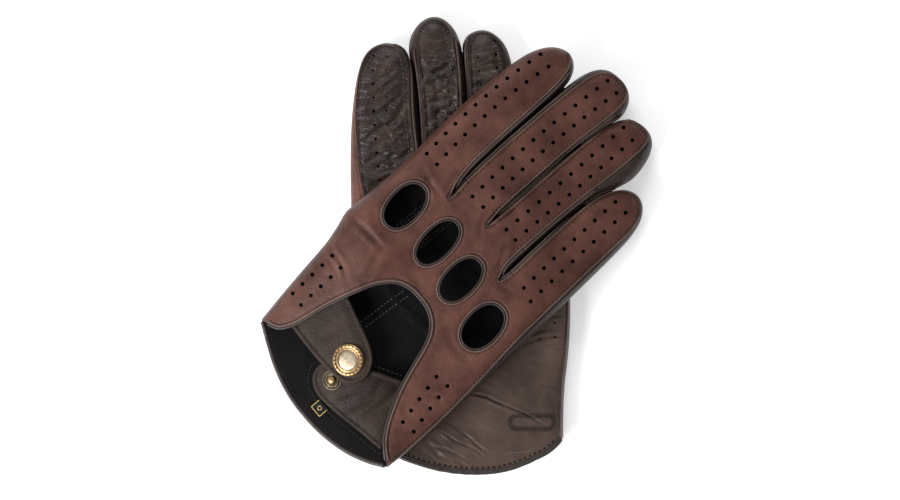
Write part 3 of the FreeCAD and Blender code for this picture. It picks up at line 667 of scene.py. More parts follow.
def vertex_normals(verts, faces):
    """Unit normals at the vertices of a mesh of triangles."""
    a, b, c = verts[faces[:, 0]], verts[faces[:, 1]], verts[faces[:, 2]]
    across = np.cross(b - a, c - a)
    normals = np.zeros_like(verts)
    for k in range(3):
        np.add.at(normals, faces[:, k], across)
    return unit(normals)


# ------------------------------------------------------------------ making objects
def mesh_object(name, verts, faces, materials, face_material=None, normals=None):
    """A mesh object in metres; normals are per face corner."""
    mesh = bpy.data.meshes.new(name)
    mesh.from_pydata((np.asarray(verts) * MM).tolist(), [], [list(map(int, f)) for f in faces])
    for material in materials:
        mesh.materials.append(material)
    mesh.polygons.foreach_set("use_smooth", np.ones(len(mesh.polygons), bool))
    if face_material is not None:
        mesh.polygons.foreach_set("material_index", np.asarray(face_material, np.int32))
    mesh.update()
    if normals is not None:
        mesh.normals_split_custom_set([tuple(n) for n in normals])
    thing = bpy.data.objects.new(name, mesh)
    bpy.context.scene.collection.objects.link(thing)
    return thing


def sheet_of(name, verts, faces, normals, thickness, materials):
    """A leather sheet: the outer face, an inner face behind it and walls at every edge."""
    used, faces = np.unique(faces, return_inverse=True)
    faces = faces.reshape(-1, 3)
    verts, normals = verts[used], normals[used]
    count = len(verts)
    edges = np.vstack([faces[:, [0, 1]], faces[:, [1, 2]], faces[:, [2, 0]]])
    key = np.sort(edges, axis=1)
    _, where, times = np.unique(key, axis=0, return_inverse=True, return_counts=True)
    rim = edges[times[where.ravel()] == 1]
    inner = verts - normals * thickness
    walls = np.column_stack([rim[:, 1], rim[:, 0], rim[:, 0] + count, rim[:, 1] + count])
    all_verts = np.vstack([verts, inner])
    wall_out = unit(np.cross(all_verts[walls[:, 1]] - all_verts[walls[:, 0]],
                             all_verts[walls[:, 3]] - all_verts[walls[:, 0]]))
    back = faces[:, ::-1] + count
    corner_normals = np.vstack([normals[faces.ravel()], -normals[(back - count).ravel()],
                                np.repeat(wall_out, 4, axis=0)])
    kinds = [0] * len(faces) + [1] * (len(faces) + len(walls))
    polygons = faces.tolist() + back.tolist() + walls.tolist()
    return mesh_object(name, all_verts, polygons, materials, kinds, corner_normals)


def ride_zone(glove, thing, number):
    """The hand's pieces ride on the glove; a finger's pieces stay where they are made."""
    body = glove.name + "_glove"
    if number == 0:
        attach(thing, body)
        return
    name, _, fold = glove.zones[number - 1]
    x = FINGER_MIDDLES[name]
    ends = glove.world([(x, fold - BEND_REACH), (x, fold + BEND_REACH)], HALF) * MM
    ends[:, 2] = ends[0, 2]
    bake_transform(thing)


def capsule_template(sides=6):
    """A unit capsule along x: two rings between two poles."""
    verts = [(-1, 0, 0)]
    for x, r in ((-0.62, 1), (0.62, 1)):
        for k in range(sides):
            a = 2 * math.pi * k / sides
            verts.append((x, r * math.cos(a), r * math.sin(a)))
    verts.append((1, 0, 0))
    faces = []
    for k in range(sides):
        n = (k + 1) % sides
        faces.append((0, 1 + n, 1 + k))
        faces.append((1 + k, 1 + n, 1 + sides + n, 1 + sides + k))
        faces.append((1 + sides + k, 1 + sides + n, 1 + 2 * sides))
    return np.array(verts, float), faces


CAPSULE, CAPSULE_FACES = capsule_template()


def capsules(at, along, out, length, radius):
    """The vertices of one stitch at each point: a capsule that lies along the seam."""
    across = unit(np.cross(out, along))
    up = np.cross(along, across)
    return [at[k] + CAPSULE[:, :1] * along[k] * length / 2 + CAPSULE[:, 1:2] * across[k] * radius
            + CAPSULE[:, 2:] * up[k] * radius for k in range(len(at))]


def ring_faces(count, sides, closed):
    """Faces between count rings of points, with flat ends unless the last ring joins the first."""
    faces = []
    for k in range(count if closed else count - 1):
        for j in range(sides):
            m, n = (j + 1) % sides, (k + 1) % count
            faces.append((k * sides + j, k * sides + m, n * sides + m, n * sides + j))
    if not closed:
        faces.append(tuple(range(sides))[::-1])
        faces.append(tuple((count - 1) * sides + j for j in range(sides)))
    return faces


def tube(path, side, up, half_width, half_height, closed=False, sides=10):
    """A tube of elliptical section along a path."""
    cos, sin = circle(sides)
    verts = (path[:, None, :] + half_width * cos[None, :, None] * side[:, None, :]
             + half_height * sin[None, :, None] * up[:, None, :]).reshape(-1, 3)
    return verts, ring_faces(len(path), sides, closed)


def tube_along(at, out, half_width, half_height, closed=False):
    """A tube along a path of points; out is the direction in which its height counts."""
    out = out * np.ones((len(at), 1))
    side = np.cross(out, unit(np.gradient(at, axis=0)))
    if closed:
        at, side, out = at[:-1], side[:-1], out[:-1]
    return tube(at, side, out, half_width, half_height, closed)


# ------------------------------------------------------------------ materials
class Shading:
    """A new material's nodes, and short ways to add to them."""

    def __init__(self, name):
        self.material = bpy.data.materials.new(name)
        self.material.use_nodes = True
        self.tree = self.material.node_tree
        self.place = self.add("TexCoord", {}).outputs["Object"]

    def link(self, node, inputs):
        """Set a node's inputs to values, or link them to other nodes' outputs."""
        for key, value in inputs.items():
            if isinstance(value, bpy.types.NodeSocket):
                self.tree.links.new(value, node.inputs[key])
            else:
                node.inputs[key].default_value = value

    def add(self, kind, inputs, **settings):
        """A new node of a kind."""
        node = self.tree.nodes.new("ShaderNode" + kind)
        for key, value in settings.items():
            setattr(node, key, value)
        self.link(node, inputs)
        return node

    def clouds(self, scale, detail, roughness=0.5):
        """Noise over the object."""
        return self.add("TexNoise", {"Vector": self.place, "Scale": scale, "Detail": detail,
                                     "Roughness": roughness}).outputs["Fac"]

    def tones(self, share, dark, light, top=0.72):
        """A colour between two tones."""
        ramp = self.add("ValToRGB", {"Fac": share})
        for element, tone, position in zip(ramp.color_ramp.elements, (dark, light), (0.3, top)):
            element.color = (*tone, 1)
            element.position = position
        return ramp.outputs["Color"]

    def surface(self, inputs):
        """Set the shader's inputs; the finished material."""
        self.link(self.tree.nodes["Principled BSDF"], inputs)
        return self.material


def leather(name, dark, light, roughness, grain, bump, specular=0.4, patches=60, wrist=None):
    """Leather: two tones in soft clouds, a fine grain and fine pores.

    wrist: the leather is creased, but towards a glove's wrist it turns smooth and takes on two
    other tones: those tones; the glove; where along it the change begins and ends.
    """
    look = Shading(name)
    clouds = look.clouds(patches, 6, 0.62)
    colour = look.tones(clouds, dark, light)
    cells = look.add("TexVoronoi", {"Vector": look.place, "Scale": grain},
                     feature="DISTANCE_TO_EDGE")
    both = look.add("Math", {0: cells.outputs["Distance"], 1: look.clouds(grain * 0.8, 4)},
                    operation="ADD")
    relief = look.add("Bump", {"Strength": bump, "Distance": 0.0003, "Height": both.outputs[0]})
    shine = look.add("MapRange", {"Value": clouds, "To Min": roughness - 0.07,
                                  "To Max": roughness + 0.09})
    if wrist:
        tones, data, start, end = wrist
        ahead = (-math.sin(data["turn"]), math.cos(data["turn"]), 0)
        foot = ahead[0] * data["origin"][0] + ahead[1] * data["origin"][1]
        along = look.add("VectorMath", {0: look.place, 1: ahead}, operation="DOT_PRODUCT")
        change = look.add("MapRange", {"Value": along.outputs["Value"],
                                       "From Min": (foot + start) * MM,
                                       "From Max": (foot + end) * MM}).outputs["Result"]
        smooth_colour = look.tones(look.clouds(PALM_PATCHES, 6, 0.62), *tones)
        colour = look.add("Mix", {"Factor": change, 6: smooth_colour, 7: colour},
                          data_type="RGBA").outputs[2]
        stretch = look.add("Mapping", {"Vector": look.place, "Scale": (110, 330, 110),
                                       "Rotation": (0, 0, math.radians(-4))})
        waves = look.add("TexNoise", {"Vector": stretch.outputs["Vector"], "Scale": 1, "Detail": 3,
                                      "Distortion": 0.8})
        crease = look.add("Bump", {"Strength": change, "Distance": 0.0011,
                                   "Height": waves.outputs["Fac"]})
        look.link(relief, {"Normal": crease.outputs["Normal"]})
    return look.surface({"Base Color": colour, "Normal": relief.outputs["Normal"],
                         "Roughness": shine.outputs["Result"], "Specular IOR Level": specular})


def metal(name, colour, roughness):
    """Metal with faint brushing and tarnish."""
    look = Shading(name)
    clouds = look.clouds(700, 4)
    relief = look.add("Bump", {"Strength": 0.15, "Distance": 0.0001, "Height": clouds})
    return look.surface({"Base Color": look.tones(clouds, [c * 0.62 for c in colour], colour, 0.6),
                         "Normal": relief.outputs["Normal"], "Metallic": 1,
                         "Roughness": roughness})


BROWN = leather("nappa_brown", (0.043, 0.0150, 0.0110), (0.132, 0.054, 0.0395), 0.45, 1300, 0.6,
                specular=0.2)
BLACK = leather("nappa_black", (0.020, 0.0125, 0.0098), (0.044, 0.029, 0.023), 0.44, 1300, 0.5,
                specular=0.24)
# The palm's light tone is partly painted sheen: its soft lighter clouds stand in for satin highlights,
# over the leather's own mottling.
PALM_TONES_AND_SHEEN = ((0.012, 0.0072, 0.0055), (0.115, 0.073, 0.0585))
PALM_PATCHES = 24
PALM = leather("nappa_palm", *PALM_TONES_AND_SHEEN, 0.36, 1300, 0.5, specular=0.3, patches=PALM_PATCHES)
# The creased fingers' light tone is partly painted highlight: small lighter clouds stand in for glints on
# the crumpled leather. Towards the wrist it takes on the palm's tones and painted sheen.
CREASED = leather("nappa_creased", (0.005, 0.0027, 0.0021), (0.045, 0.0272, 0.0215), 0.33, 1300, 0.4,
                  specular=0.3, patches=90, wrist=(PALM_TONES_AND_SHEEN, LEFT, 78, 108))
STRAP = leather("strap_leather", (0.010, 0.0058, 0.0043), (0.039, 0.0252, 0.0192), 0.52, 900, 0.8,
                specular=0.16)
# A lighter grey-brown leather for the welts in the clefts: partly the fourchettes' own colour, partly
# painted light that lifts them out of the clefts' shade.
GUSSET_PAINTED_LIGHT = leather("gusset_leather", (0.036, 0.024, 0.019), (0.075, 0.052, 0.043), 0.45, 1300, 0.5,
                 specular=0.3)
SUEDE = leather("suede_lining", (0.0035, 0.003, 0.003), (0.0085, 0.0075, 0.0075), 0.95, 2200, 0.9,
                specular=0.12)
BINDING = leather("binding_leather", (0.020, 0.014, 0.012), (0.034, 0.024, 0.020), 0.45, 1500, 0.3)
# Light tan cords on raised edges: a painted highlight along the knuckle piping, the wrist's edge and the
# back's folded seam edges.
EDGE_HIGHLIGHT = leather("cut_edge", (0.085, 0.055, 0.044), (0.16, 0.11, 0.09), 0.6, 2000, 0.4)
THREAD = leather("thread", (0.008, 0.005, 0.005), (0.016, 0.011, 0.010), 0.65, 3000, 0.6,
                 specular=0.25)
# Light stitches: painted sheen, standing in for the glint on dark thread.
SHEEN_THREAD = leather("thread_worn", (0.05, 0.036, 0.03), (0.11, 0.085, 0.07), 0.5, 3000, 0.6)
BRASS = metal("snap_brass", (0.40, 0.26, 0.13), 0.36)
SILVER = metal("snap_centre", (0.40, 0.33, 0.24), 0.42)
DARK_METAL = metal("snap_dark", (0.05, 0.042, 0.034), 0.42)
CLOTH = leather("label_cloth", (0.006, 0.006, 0.006), (0.014, 0.014, 0.014), 0.85, 4000, 0.8,
                specular=0.2)
GOLD = metal("label_gold", (0.42, 0.32, 0.14), 0.5)


# ------------------------------------------------------------------ the panels
SIDES = ("back", "palm")
PANEL, FOURCHETTE, WRAP = 0, 1, 2       # WRAP: where the back's leather comes round to the palm


def panel_mesh(glove, side):
    """Flat points, 3D points, outward faces and normals of one whole side of a glove."""
    holes = list(glove.holes[side])
    if side == "back":
        holes += [oval(x, y, half_x - 1.5, half_y - 1.5, lean)
                  for x, y, half_x, half_y, lean in glove.knuckles]
    seam = glove.seams[side]
    rows = [(parallel(glove.edge, -off), 0.7 * min(off, 0.7)) for off in (0.13, 0.42, 0.95, 1.75)]
    rows += [(parallel(seam, off), 0.3) for off in (0.5, -0.45, 0.95, -0.95, 1.5, -1.6)]
    for path, width, _ in glove.folds[side]:
        line = smooth(path, 1.0)
        gap = 0.5 * min(width, 1.1)
        rows += [(parallel(line, off * width), gap) for off in (0, -0.7, 0.7, 1.4, -1.4)]
    for hole in holes:
        centre = hole.mean(0)
        for off in (0.6, 1.1, 1.6, 2.1):
            if len(hole) > 30 or off < 1:
                grown = centre + (hole - centre) * (1 + off / np.linalg.norm(hole[0] - centre))
                rows.append((grown, 0.35))
    if side == "back":
        rows += [(parallel(smooth(glove.opening, 1.1), off), 0.35) for off in (0.8, 1.4, 1.9, 2.4)]
    spacing = CREASED_GRID if glove.turned and side == "palm" else GRID
    flat, faces = fill(glove.outline(side), holes, [seam], rows, spacing)
    verts = glove.world(flat, glove.height(flat, side))
    if glove.flips(side):
        faces = faces[:, ::-1]
    return flat, verts, faces, vertex_normals(verts, faces)


def join_normals(sides):
    """Make both sides' normals agree along the glove's edge, so that it looks rounded."""
    keyed = {}
    for side in SIDES:
        flat, _, _, normals = sides[side]
        for k, (x, y) in enumerate(np.round(flat, 3)):
            keyed.setdefault((x, y), {})[side] = k
    for pair in keyed.values():
        if len(pair) == 2:
            total = sum(sides[side][3][pair[side]] for side in SIDES)
            total /= max(np.linalg.norm(total), 1e-9)
            for side in SIDES:
                sides[side][3][pair[side]] = total


def panels(glove):
    """Both sides of a glove, cut into the hand and the fingers and into the leathers' pieces."""
    sides = {side: panel_mesh(glove, side) for side in SIDES}
    join_normals(sides)
    for side, (flat, verts, faces, normals) in sides.items():
        middle = flat[faces].mean(axis=1)
        kind = np.where(inside(middle, glove.regions[side]), PANEL, FOURCHETTE)
        if side == "palm":
            brown = (middle[:, 0] < glove.brown_limit) | (middle[:, 1] < 95)
            kind[(kind == FOURCHETTE) & brown] = WRAP
        zone = glove.zone(middle)
        for number in range(len(glove.zones) + 1):
            for piece, label in enumerate((side + "_panel", side + "_fourchettes", "index_wrap")):
                chosen = (zone == number) & (kind == piece)
                if not chosen.any():
                    continue
                dark = BLACK
                if glove.turned and side == "palm":
                    dark = CREASED if piece == PANEL else PALM if number == 0 else BLACK
                skin = BROWN if piece == (PANEL if side == "back" else WRAP) else dark
                name = "%s_%s_%s_leather" % (glove.name, glove.zone_name(number), label)
                thing = sheet_of(name, verts, faces[chosen], normals, LEATHER, [skin, SUEDE])
                ride_zone(glove, thing, number)
                replace_nodes(glove, side, number, piece)


def replace_nodes(glove, side, number, piece):
    """Hide the CAD node that a leather piece stands for."""
    if number == 0:
        node = glove.name + ("_fourchettes" if piece == FOURCHETTE else "_%s_panel" % side)
    else:
        node = "%s_%s_tip_%s" % (glove.name, glove.zone_name(number),
                                 "fourchette" if piece == FOURCHETTE else side)
    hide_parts(node)


# ------------------------------------------------------------------ rows of stitches, cords
# Sections of cords: the half width, the half height, and the middle's height above the leather.
RIM, RIM_BINDING = (0.28, 0.3, 0.08), (0.46, 0.85, -0.5)
WRIST_BINDING, WRIST_EDGE = (0.6, 0.7, -0.4), (0.38, 0.38, 0.05)
HEM_BINDING, HEM_EDGE = (1.1, 1.0, -0.5), (0.4, 0.35, 0.05)
FOLDED_EDGE, WELT = (0.21, 0.26, 0.12), (0.6, 0.5, 0.0)
BADGE, RIDGE = (0.38, 0.42, 0.05), (0.5, 0.5, -0.05)
SHORT_STITCH = dict(pitch=1.6, length=1.3)
RIBBON_DEPTH = 4.2      # the seam allowances lie this far below the glove's middle
PROBE = 0.25            # step between the points that a surface's slope is taken from
THREAD_LIFT = 0.02


class Trim:
    """Stitches and cords of one glove, gathered by material and by the finger they belong to."""

    def __init__(self, glove):
        self.glove = glove
        self.piles = {}

    def surface(self, points, side, lift, inner=False):
        """3D points on a side's face and unit normals that point away from the leather."""
        glove = self.glove
        at, right, ahead = (glove.world(moved, glove.height(moved, side))
                            for moved in (points, points + (PROBE, 0), points + (0, PROBE)))
        normal = unit(np.cross(right - at, ahead - at))
        if glove.flips(side):
            normal = -normal
        if inner:
            return at + (-LEATHER - lift) * normal, -normal
        return at + lift * normal, normal

    def add(self, material, zone, verts, faces):
        """Put a small mesh with the others of its material and finger."""
        store = self.piles.setdefault((material.name, zone), [[], [], 0])
        store[0].append(verts)
        store[1].extend([tuple(i + store[2] for i in face) for face in faces])
        store[2] += len(verts)

    def stitches(self, line, side, pitch=1.9, length=1.45, radius=0.2, inner=False, material=None):
        """A row of stitches along a line, on the leather's outer or inner face."""
        line = resample(line, pitch)
        middle = (line[1:] + line[:-1]) / 2
        ahead = unit(line[1:] - line[:-1])
        at, normal = self.surface(middle, side, THREAD_LIFT, inner)
        along = unit(self.surface(middle + ahead * 0.4, side, THREAD_LIFT, inner)[0] - at)
        for zone, verts in zip(self.glove.zone(middle), capsules(at, along, normal, length, radius)):
            self.add(material or THREAD, zone, verts, CAPSULE_FACES)

    def cord(self, line, side, half_width, half_height, lift, closed=False, material=None):
        """A cord of oval section along a line, its middle at the height lift, cut at the fingers."""
        at, up = self.surface(line, side, lift)
        wrapped = np.vstack([at[-1:], at, at[:1]])
        along = unit(wrapped[2:] - wrapped[:-2] if closed else np.gradient(at, axis=0))
        across = unit(np.cross(up, along))
        over = np.cross(along, across)
        zones = self.glove.zone(line)
        cuts = [0] + [k for k in range(1, len(line)) if zones[k] != zones[k - 1]] + [len(line)]
        if closed:
            cuts = [0, len(line)]
        for start, end in zip(cuts, cuts[1:]):
            part = slice(start, min(end + 1, len(line)))
            if part.stop - part.start > 1:
                self.add(material or BINDING, zones[start],
                         *tube(at[part], across[part], over[part], half_width, half_height, closed))

    def finish(self):
        """One object for each material and finger."""
        things = []
        for (material, zone), (verts, faces, _) in sorted(self.piles.items()):
            name = "%s_%s_%s_trim" % (self.glove.name, self.glove.zone_name(zone), material)
            thing = mesh_object(name, np.vstack(verts), faces, [bpy.data.materials[material]])
            ride_zone(self.glove, thing, zone)
            things.append((material, zone, thing))
        return things


def pill(x, y, half_x, half_y, lean, count=60):
    """A closed stadium outline: two straight sides and two half-circle ends."""
    reach = half_x - half_y
    ends = [(side * reach + half_y * math.cos(a), half_y * math.sin(a))
            for side, start in ((1, -90), (-1, 90))
            for a in np.radians(np.linspace(start, start + 180, 15))]
    lean = math.radians(lean)
    turned = [(x + u * math.cos(lean) - v * math.sin(lean), y + u * math.sin(lean) + v * math.cos(lean))
              for u, v in ends]
    return resample(np.array(turned + turned[:1]), 2 * math.pi * half_x / count)[:-1]


def bindings(trim):
    """Piping round the knuckle holes, the bound wrist opening and the turned hem."""
    glove = trim.glove
    for x, y, half_x, half_y, lean in glove.knuckles:
        # the light cord next to each knuckle hole's edge is a painted highlight
        for inset, section, material in ((0.55, RIM, EDGE_HIGHLIGHT), (1.6, RIM_BINDING, BINDING)):
            trim.cord(oval(x, y, half_x - inset, half_y - inset, lean), "back", *section,
                      closed=True, material=material)
        for inset in (-0.15, 1.1):
            path = loop(oval(x, y, half_x - inset, half_y - inset, lean))
            trim.stitches(path, "back", **SHORT_STITCH)
    wrist = smooth(glove.opening, TRIM_STEP)[3:-3]
    trim.cord(parallel(wrist, -0.15), "back", *WRIST_BINDING)
    # the wrist's light cord is a painted highlight
    trim.cord(parallel(wrist, 0.85), "back", *WRIST_EDGE, material=EDGE_HIGHLIGHT)
    trim.stitches(parallel(wrist, 1.9), "back", **SHORT_STITCH)
    if glove.turned:
        palm_marks(trim)
    hem = smooth(glove.hem, TRIM_STEP)
    trim.cord(parallel(hem, -0.2)[1:-1], "palm", *HEM_BINDING)
    trim.stitches(parallel(hem, -2.4)[3:-3], "palm", inner=True)
    trim.cord(parallel(hem, -1.3)[1:-1], "palm", *HEM_EDGE)
    trim.stitches(parallel(hem, -2.3)[3:-3], "palm", pitch=2.5, length=1.6, radius=0.42)
    # a short light stitch on each dark hem stitch: a painted highlight
    trim.stitches(parallel(hem, -2.3)[4:-4] + (0.6, 0.1), "palm", pitch=2.5, length=0.8,
                  radius=0.24, material=SHEEN_THREAD)


def palm_marks(trim):
    """The left palm's raised empty badge, the ridge at its outer edge and a mending stitch."""
    for half_x, half_y in ((10.7, 3.6), (9.6, 2.5)):
        trim.cord(pill(26.5, 6.2, half_x, half_y, -4), "palm", *BADGE, closed=True,
                  material=BLACK)
    ridge = smooth([(38.8, 0.5), (40, 12), (41.4, 24), (43.8, 36), (45.6, 48), (46.8, 60),
                    (47.2, 80)], TRIM_STEP)
    trim.cord(ridge, "palm", *RIDGE, material=BLACK)
    trim.stitches(np.array([(32.0, 44.3), (34.0, 44.7)]), "palm", radius=0.5)


def seams(trim):
    """The folded edge, the stitches and the gusset's welt along both sides' seams."""
    glove = trim.glove
    for side in SIDES:
        seam = glove.seams[side]
        # on the back the folded edge is a light cord: a painted highlight
        trim.cord(within(parallel(seam, -0.25), glove, side, 0.1), side, *FOLDED_EDGE,
                  material=EDGE_HIGHLIGHT if side == "back" else BLACK)
        trim.stitches(within(parallel(seam, -1.15), glove, side), side)
        if glove.turned == (side == "palm"):
            beside = parallel(seam, 1.05)
            near = glove.from_slits(beside) < 3.2
            for part in kept_runs(beside, inside(beside, glove.outline(side)) & near):
                # the welt's lighter leather is partly painted light against the shade of the cleft
                trim.cord(part, side, *WELT, material=GUSSET_PAINTED_LIGHT)
        if glove.turned and side == "palm":
            # a row of light stitches: painted sheen on the palm's seam thread
            trim.stitches(within(parallel(seam, -2.6), glove, side), side, pitch=2.0,
                          length=1.3, material=SHEEN_THREAD)


def inner_seams(trim):
    """The double stitching inside the right palm that shows through its openings."""
    # light thread: painted sheen on the stitches
    for x in (-34.6, -33.1, -21.3, -19.9):
        trim.stitches(np.array([(x, 95.0), (x - 0.6, 74.0)]), "palm", inner=True, radius=0.22,
                      material=SHEEN_THREAD)
    for x in (-12.2, -9.0):
        seam = smooth([(x + 1.5, 58), (x + 0.4, 48), (x, 40), (x - 0.8, 31)], TRIM_STEP)
        trim.stitches(seam, "palm", inner=True, radius=0.24, material=SHEEN_THREAD)


def kept_runs(line, keep):
    """The unbroken runs of a line's kept points."""
    marks = np.flatnonzero(np.diff(np.concatenate([[0], keep.astype(int), [0]])))
    return [line[a:b] for a, b in zip(marks[::2], marks[1::2]) if b - a > 3]


def slit_ribbons(trim):
    """Seam allowances low in the clefts between the fingers, which close them to the light."""
    glove = trim.glove
    for slit in glove.slits:
        line = resample(slit, TRIM_STEP)
        for part in kept_runs(line, distance(line, glove.edge) < 0.75):
            part = part[1:-3]
            if len(part) < 4:
                continue
            at = glove.world(part, HALF + (RIBBON_DEPTH if glove.turned else -RIBBON_DEPTH))
            up = np.tile((0.0, 0.0, 1.0), (len(part), 1))
            across = np.cross(up, unit(np.gradient(at, axis=0)))
            zones = glove.zone(part - (0.6, 0))
            for zone in sorted(set(zones)):
                here = zones == zone
                if here.sum() > 1:
                    trim.add(BINDING, zone, *tube(at[here], across[here], up[here], 0.85, 0.35))


def within(line, glove, side, clear=0.9):
    """The part of an offset line that stays on the leather and clear of the seam's corners."""
    keep = inside(line, glove.outline(side))
    return line[keep & (distance(line, glove.seams[side]) > clear)]


def trims(glove):
    """All cords and stitches of a glove; their pieces stand for the CAD's rims and bindings."""
    trim = Trim(glove)
    bindings(trim)
    slit_ribbons(trim)
    seams(trim)
    if not glove.turned:
        inner_seams(trim)
    stands_for = dict(cut_edge=["_knuckle_rims"], binding_leather=["_wrist_binding", "_hem_binding"])
    return [(thing, [glove.name + node for node in stands_for[material]])
            for material, zone, thing in trim.finish() if zone == 0 and material in stands_for]


# ------------------------------------------------------------------ pads: strap, tab, label, thumb
def anchored(thing, body, *nodes):
    """A piece that rides on one body and stands for the nodes."""
    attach(thing, body)
    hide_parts(*nodes)


def compose(name, parts):
    """One object from (vertices, faces, material) parts."""
    verts, faces, kinds, materials, count = [], [], [], [], 0
    for points, polygons, material in parts:
        if material not in materials:
            materials.append(material)
        verts.append(points)
        faces.extend([tuple(int(i) + count for i in face) for face in polygons])
        kinds.extend([materials.index(material)] * len(polygons))
        count += len(points)
    return mesh_object(name, np.vstack(verts), faces, materials, kinds)


def pad_part(glove, outline, low, high, rounding, material, relief=None, spacing=1.0):
    """A closed plate with rounded edges between two heights; relief lifts its outer face."""
    rows = [(parallel(outline, side * off), 0.25)
            for side in (1, -1) for off in (0.1, 0.3, 0.6, 1.0, 1.5, 2.0)]
    flat, faces = fill(outline, [], [], rows, spacing)
    d = distance(flat, outline, closed=True)
    u = np.clip(d / rounding, 0, 1)
    share = np.sqrt(1 - (1 - u) ** 2)
    middle, half = (low + high) / 2, (high - low) / 2
    upper = middle + half * share + (relief(flat, d) if relief else 0)
    lower = middle - half * share
    count = len(flat)
    verts = np.vstack([glove.world(flat, upper), glove.world(flat, lower)])
    mirror = np.where(d < 1e-6, np.arange(count), np.arange(count) + count)
    polygons = np.vstack([faces, mirror[faces[:, ::-1]]])
    if glove.turned:
        polygons = polygons[:, ::-1]
    used, polygons = np.unique(polygons, return_inverse=True)
    return verts[used], polygons.reshape(-1, 3), material


def seat(glove, x, y, c):
    """A point of the glove with its across, along and outward directions."""
    at, right, up = glove.world([(x, y), (x + 1, y), (x, y + 1)], c)
    across = unit(right - at)
    out = unit(np.cross(across, up - at))
    if glove.turned:
        out = -out
    return at, across, np.cross(out, across), out


def lathe(profile, place, material, sides=56):
    """A turned piece: the profile's (radius, height) swept round the seat's outward axis."""
    at, across, along, out = place
    cos, sin = circle(sides)
    around = cos[:, None] * across + sin[:, None] * along
    verts = np.vstack([at + radius * around + height * out for radius, height in profile])
    return verts, ring_faces(len(profile), sides, False), material


def bead(place, x, y, material):
    """A low round bead on a seat."""
    at, across, along, out = place
    centre = at + x * across + y * along + BEAD_SEAT * out
    profile = [(BEAD_RADIUS * math.cos(a), BEAD_RISE * math.sin(a)) for a in np.linspace(0, 1.45, 6)]
    return lathe(profile, (centre, across, along, out), material, sides=14)


def stitches_at(glove, line, height, material, pitch, length, radius):
    """A row of stitches on a plate's outer face; height gives c at 2D points."""
    line = resample(line, pitch)
    middle = (line[1:] + line[:-1]) / 2
    ahead = middle + 0.4 * unit(line[1:] - line[:-1])
    at = glove.world(middle, height(middle))
    along = unit(glove.world(ahead, height(ahead)) - at)
    out = np.array([seat(glove, x, y, 0)[3] for x, y in middle])
    faces = [tuple(i + k * len(CAPSULE) for i in face)
             for k in range(len(at)) for face in CAPSULE_FACES]
    return np.vstack(capsules(at, along, out, length, radius)), faces, material


STRAP_PATH = [[(-33.5, 39.2), (-24, 36.5), (-15, 33.8), (-5, 31), (0, 29), (4.2, 26), (7, 22),
               (7.8, 18), (6.6, 13), (3, 9.5), (-3, 8), (-10, 7.2), (-20, 7.2), (-33, 8),
               (-39.5, 9.2)],
              [(-39.5, 9.2), (-37.5, 24), (-33.5, 39.2)]]
TAB_PATH = [[(25, 33.5), (20.3, 30.5), (14, 27), (8, 23.6), (1, 18.6), (-5, 15.4), (-9.4, 11.4),
             (-10.9, 6), (-9.2, 0.6), (-5, -2.6), (0, -3.8), (5, -3.5), (15, -2), (25, 0),
             (37, 2)],
            [(37, 2), (33, 16), (25, 33.5)]]
STRAP_FOLD = [(-29, 9.2), (-21.5, 35.6)]
CAP_AT = (-3.5, 18)
STUD_AT = (-1.5, 6)
LABEL_AT = (4.4, -7.4)
STRAP_LOW, STRAP_HIGH = 9.0, 10.4
TAB_LOW, TAB_HIGH = 5.8, 7.2
STRAP_FOLDS = [([(-22, 34), (-18, 24), (-19, 10)], 2.4, 0.3),
               ([(-12, 31), (-11, 22), (-13, 10)], 2.0, 0.22)]
TAB_FOLDS = [([(14, 25), (16, 14), (12, 0)], 2.4, 0.45), ([(21, 29), (22, 17), (20, 1)], 2.2, 0.4),
             ([(7, 20), (8, 10), (5, -2)], 2.0, 0.25)]

BEADS, BEAD_CIRCLE = 22, 6.45
BEAD_RADIUS, BEAD_RISE, BEAD_SEAT = 0.42, 0.21, 1.36
STRAP_BEND = 2.6        # a length to each side of the strap's fold
# Each part of a snap: its body, its place, its height, and its turned pieces as profiles of
# (radius, height).  The cap also has a ring of beads.
SNAP_PARTS = [
    ("cap", "strap_flap", CAP_AT, STRAP_HIGH + 0.1, [
        ([(7.4, 0), (7.55, 0.45), (7.45, 0.95), (7.1, 1.3), (6.6, 1.45), (6.0, 1.4), (5.75, 1.15),
          (5.5, 1.1), (5.35, 1.3), (5.0, 1.38), (4.75, 1.25), (4.55, 1.0)], BRASS),
        ([(4.6, 0.9), (4.6, 1.0), (4.2, 1.12), (3, 1.2), (1.4, 1.26), (0.3, 1.28)], SILVER)]),
    ("socket", "strap_flap", CAP_AT, 8.05, [
        ([(2.2, 0.7), (2.2, 0), (2.6, -0.05), (4.8, 0), (5, 0.2), (5, 0.7), (2.2, 0.7)], BRASS)]),
    ("stud", "glove", STUD_AT, TAB_HIGH, [
        ([(4.7, 0), (4.75, 0.3), (4.5, 0.5), (4.25, 0.42), (3.1, 0.36)], DARK_METAL),
        ([(4.5, 0.4), (4.46, 0.58), (4.34, 0.6), (4.3, 0.4)], SILVER),
        ([(3.1, 0.3), (3.06, 0.5), (2.94, 0.52), (2.9, 0.3)], SILVER),
        ([(1.5, 0.3), (1.4, 0.7), (1.75, 1.05), (1.6, 1.35), (1.0, 1.6), (0.2, 1.68)], BRASS)]),
    ("rivet", "glove", STUD_AT, TAB_LOW, [
        ([(3.6, -0.55), (4.1, -0.45), (4.2, -0.2), (4.2, 0.05)], BRASS)]),
]


def fit(glove, line):
    """The left wrist lies a little narrower than the right."""
    return np.asarray(line, float) * np.array([glove.scale, 1.0])


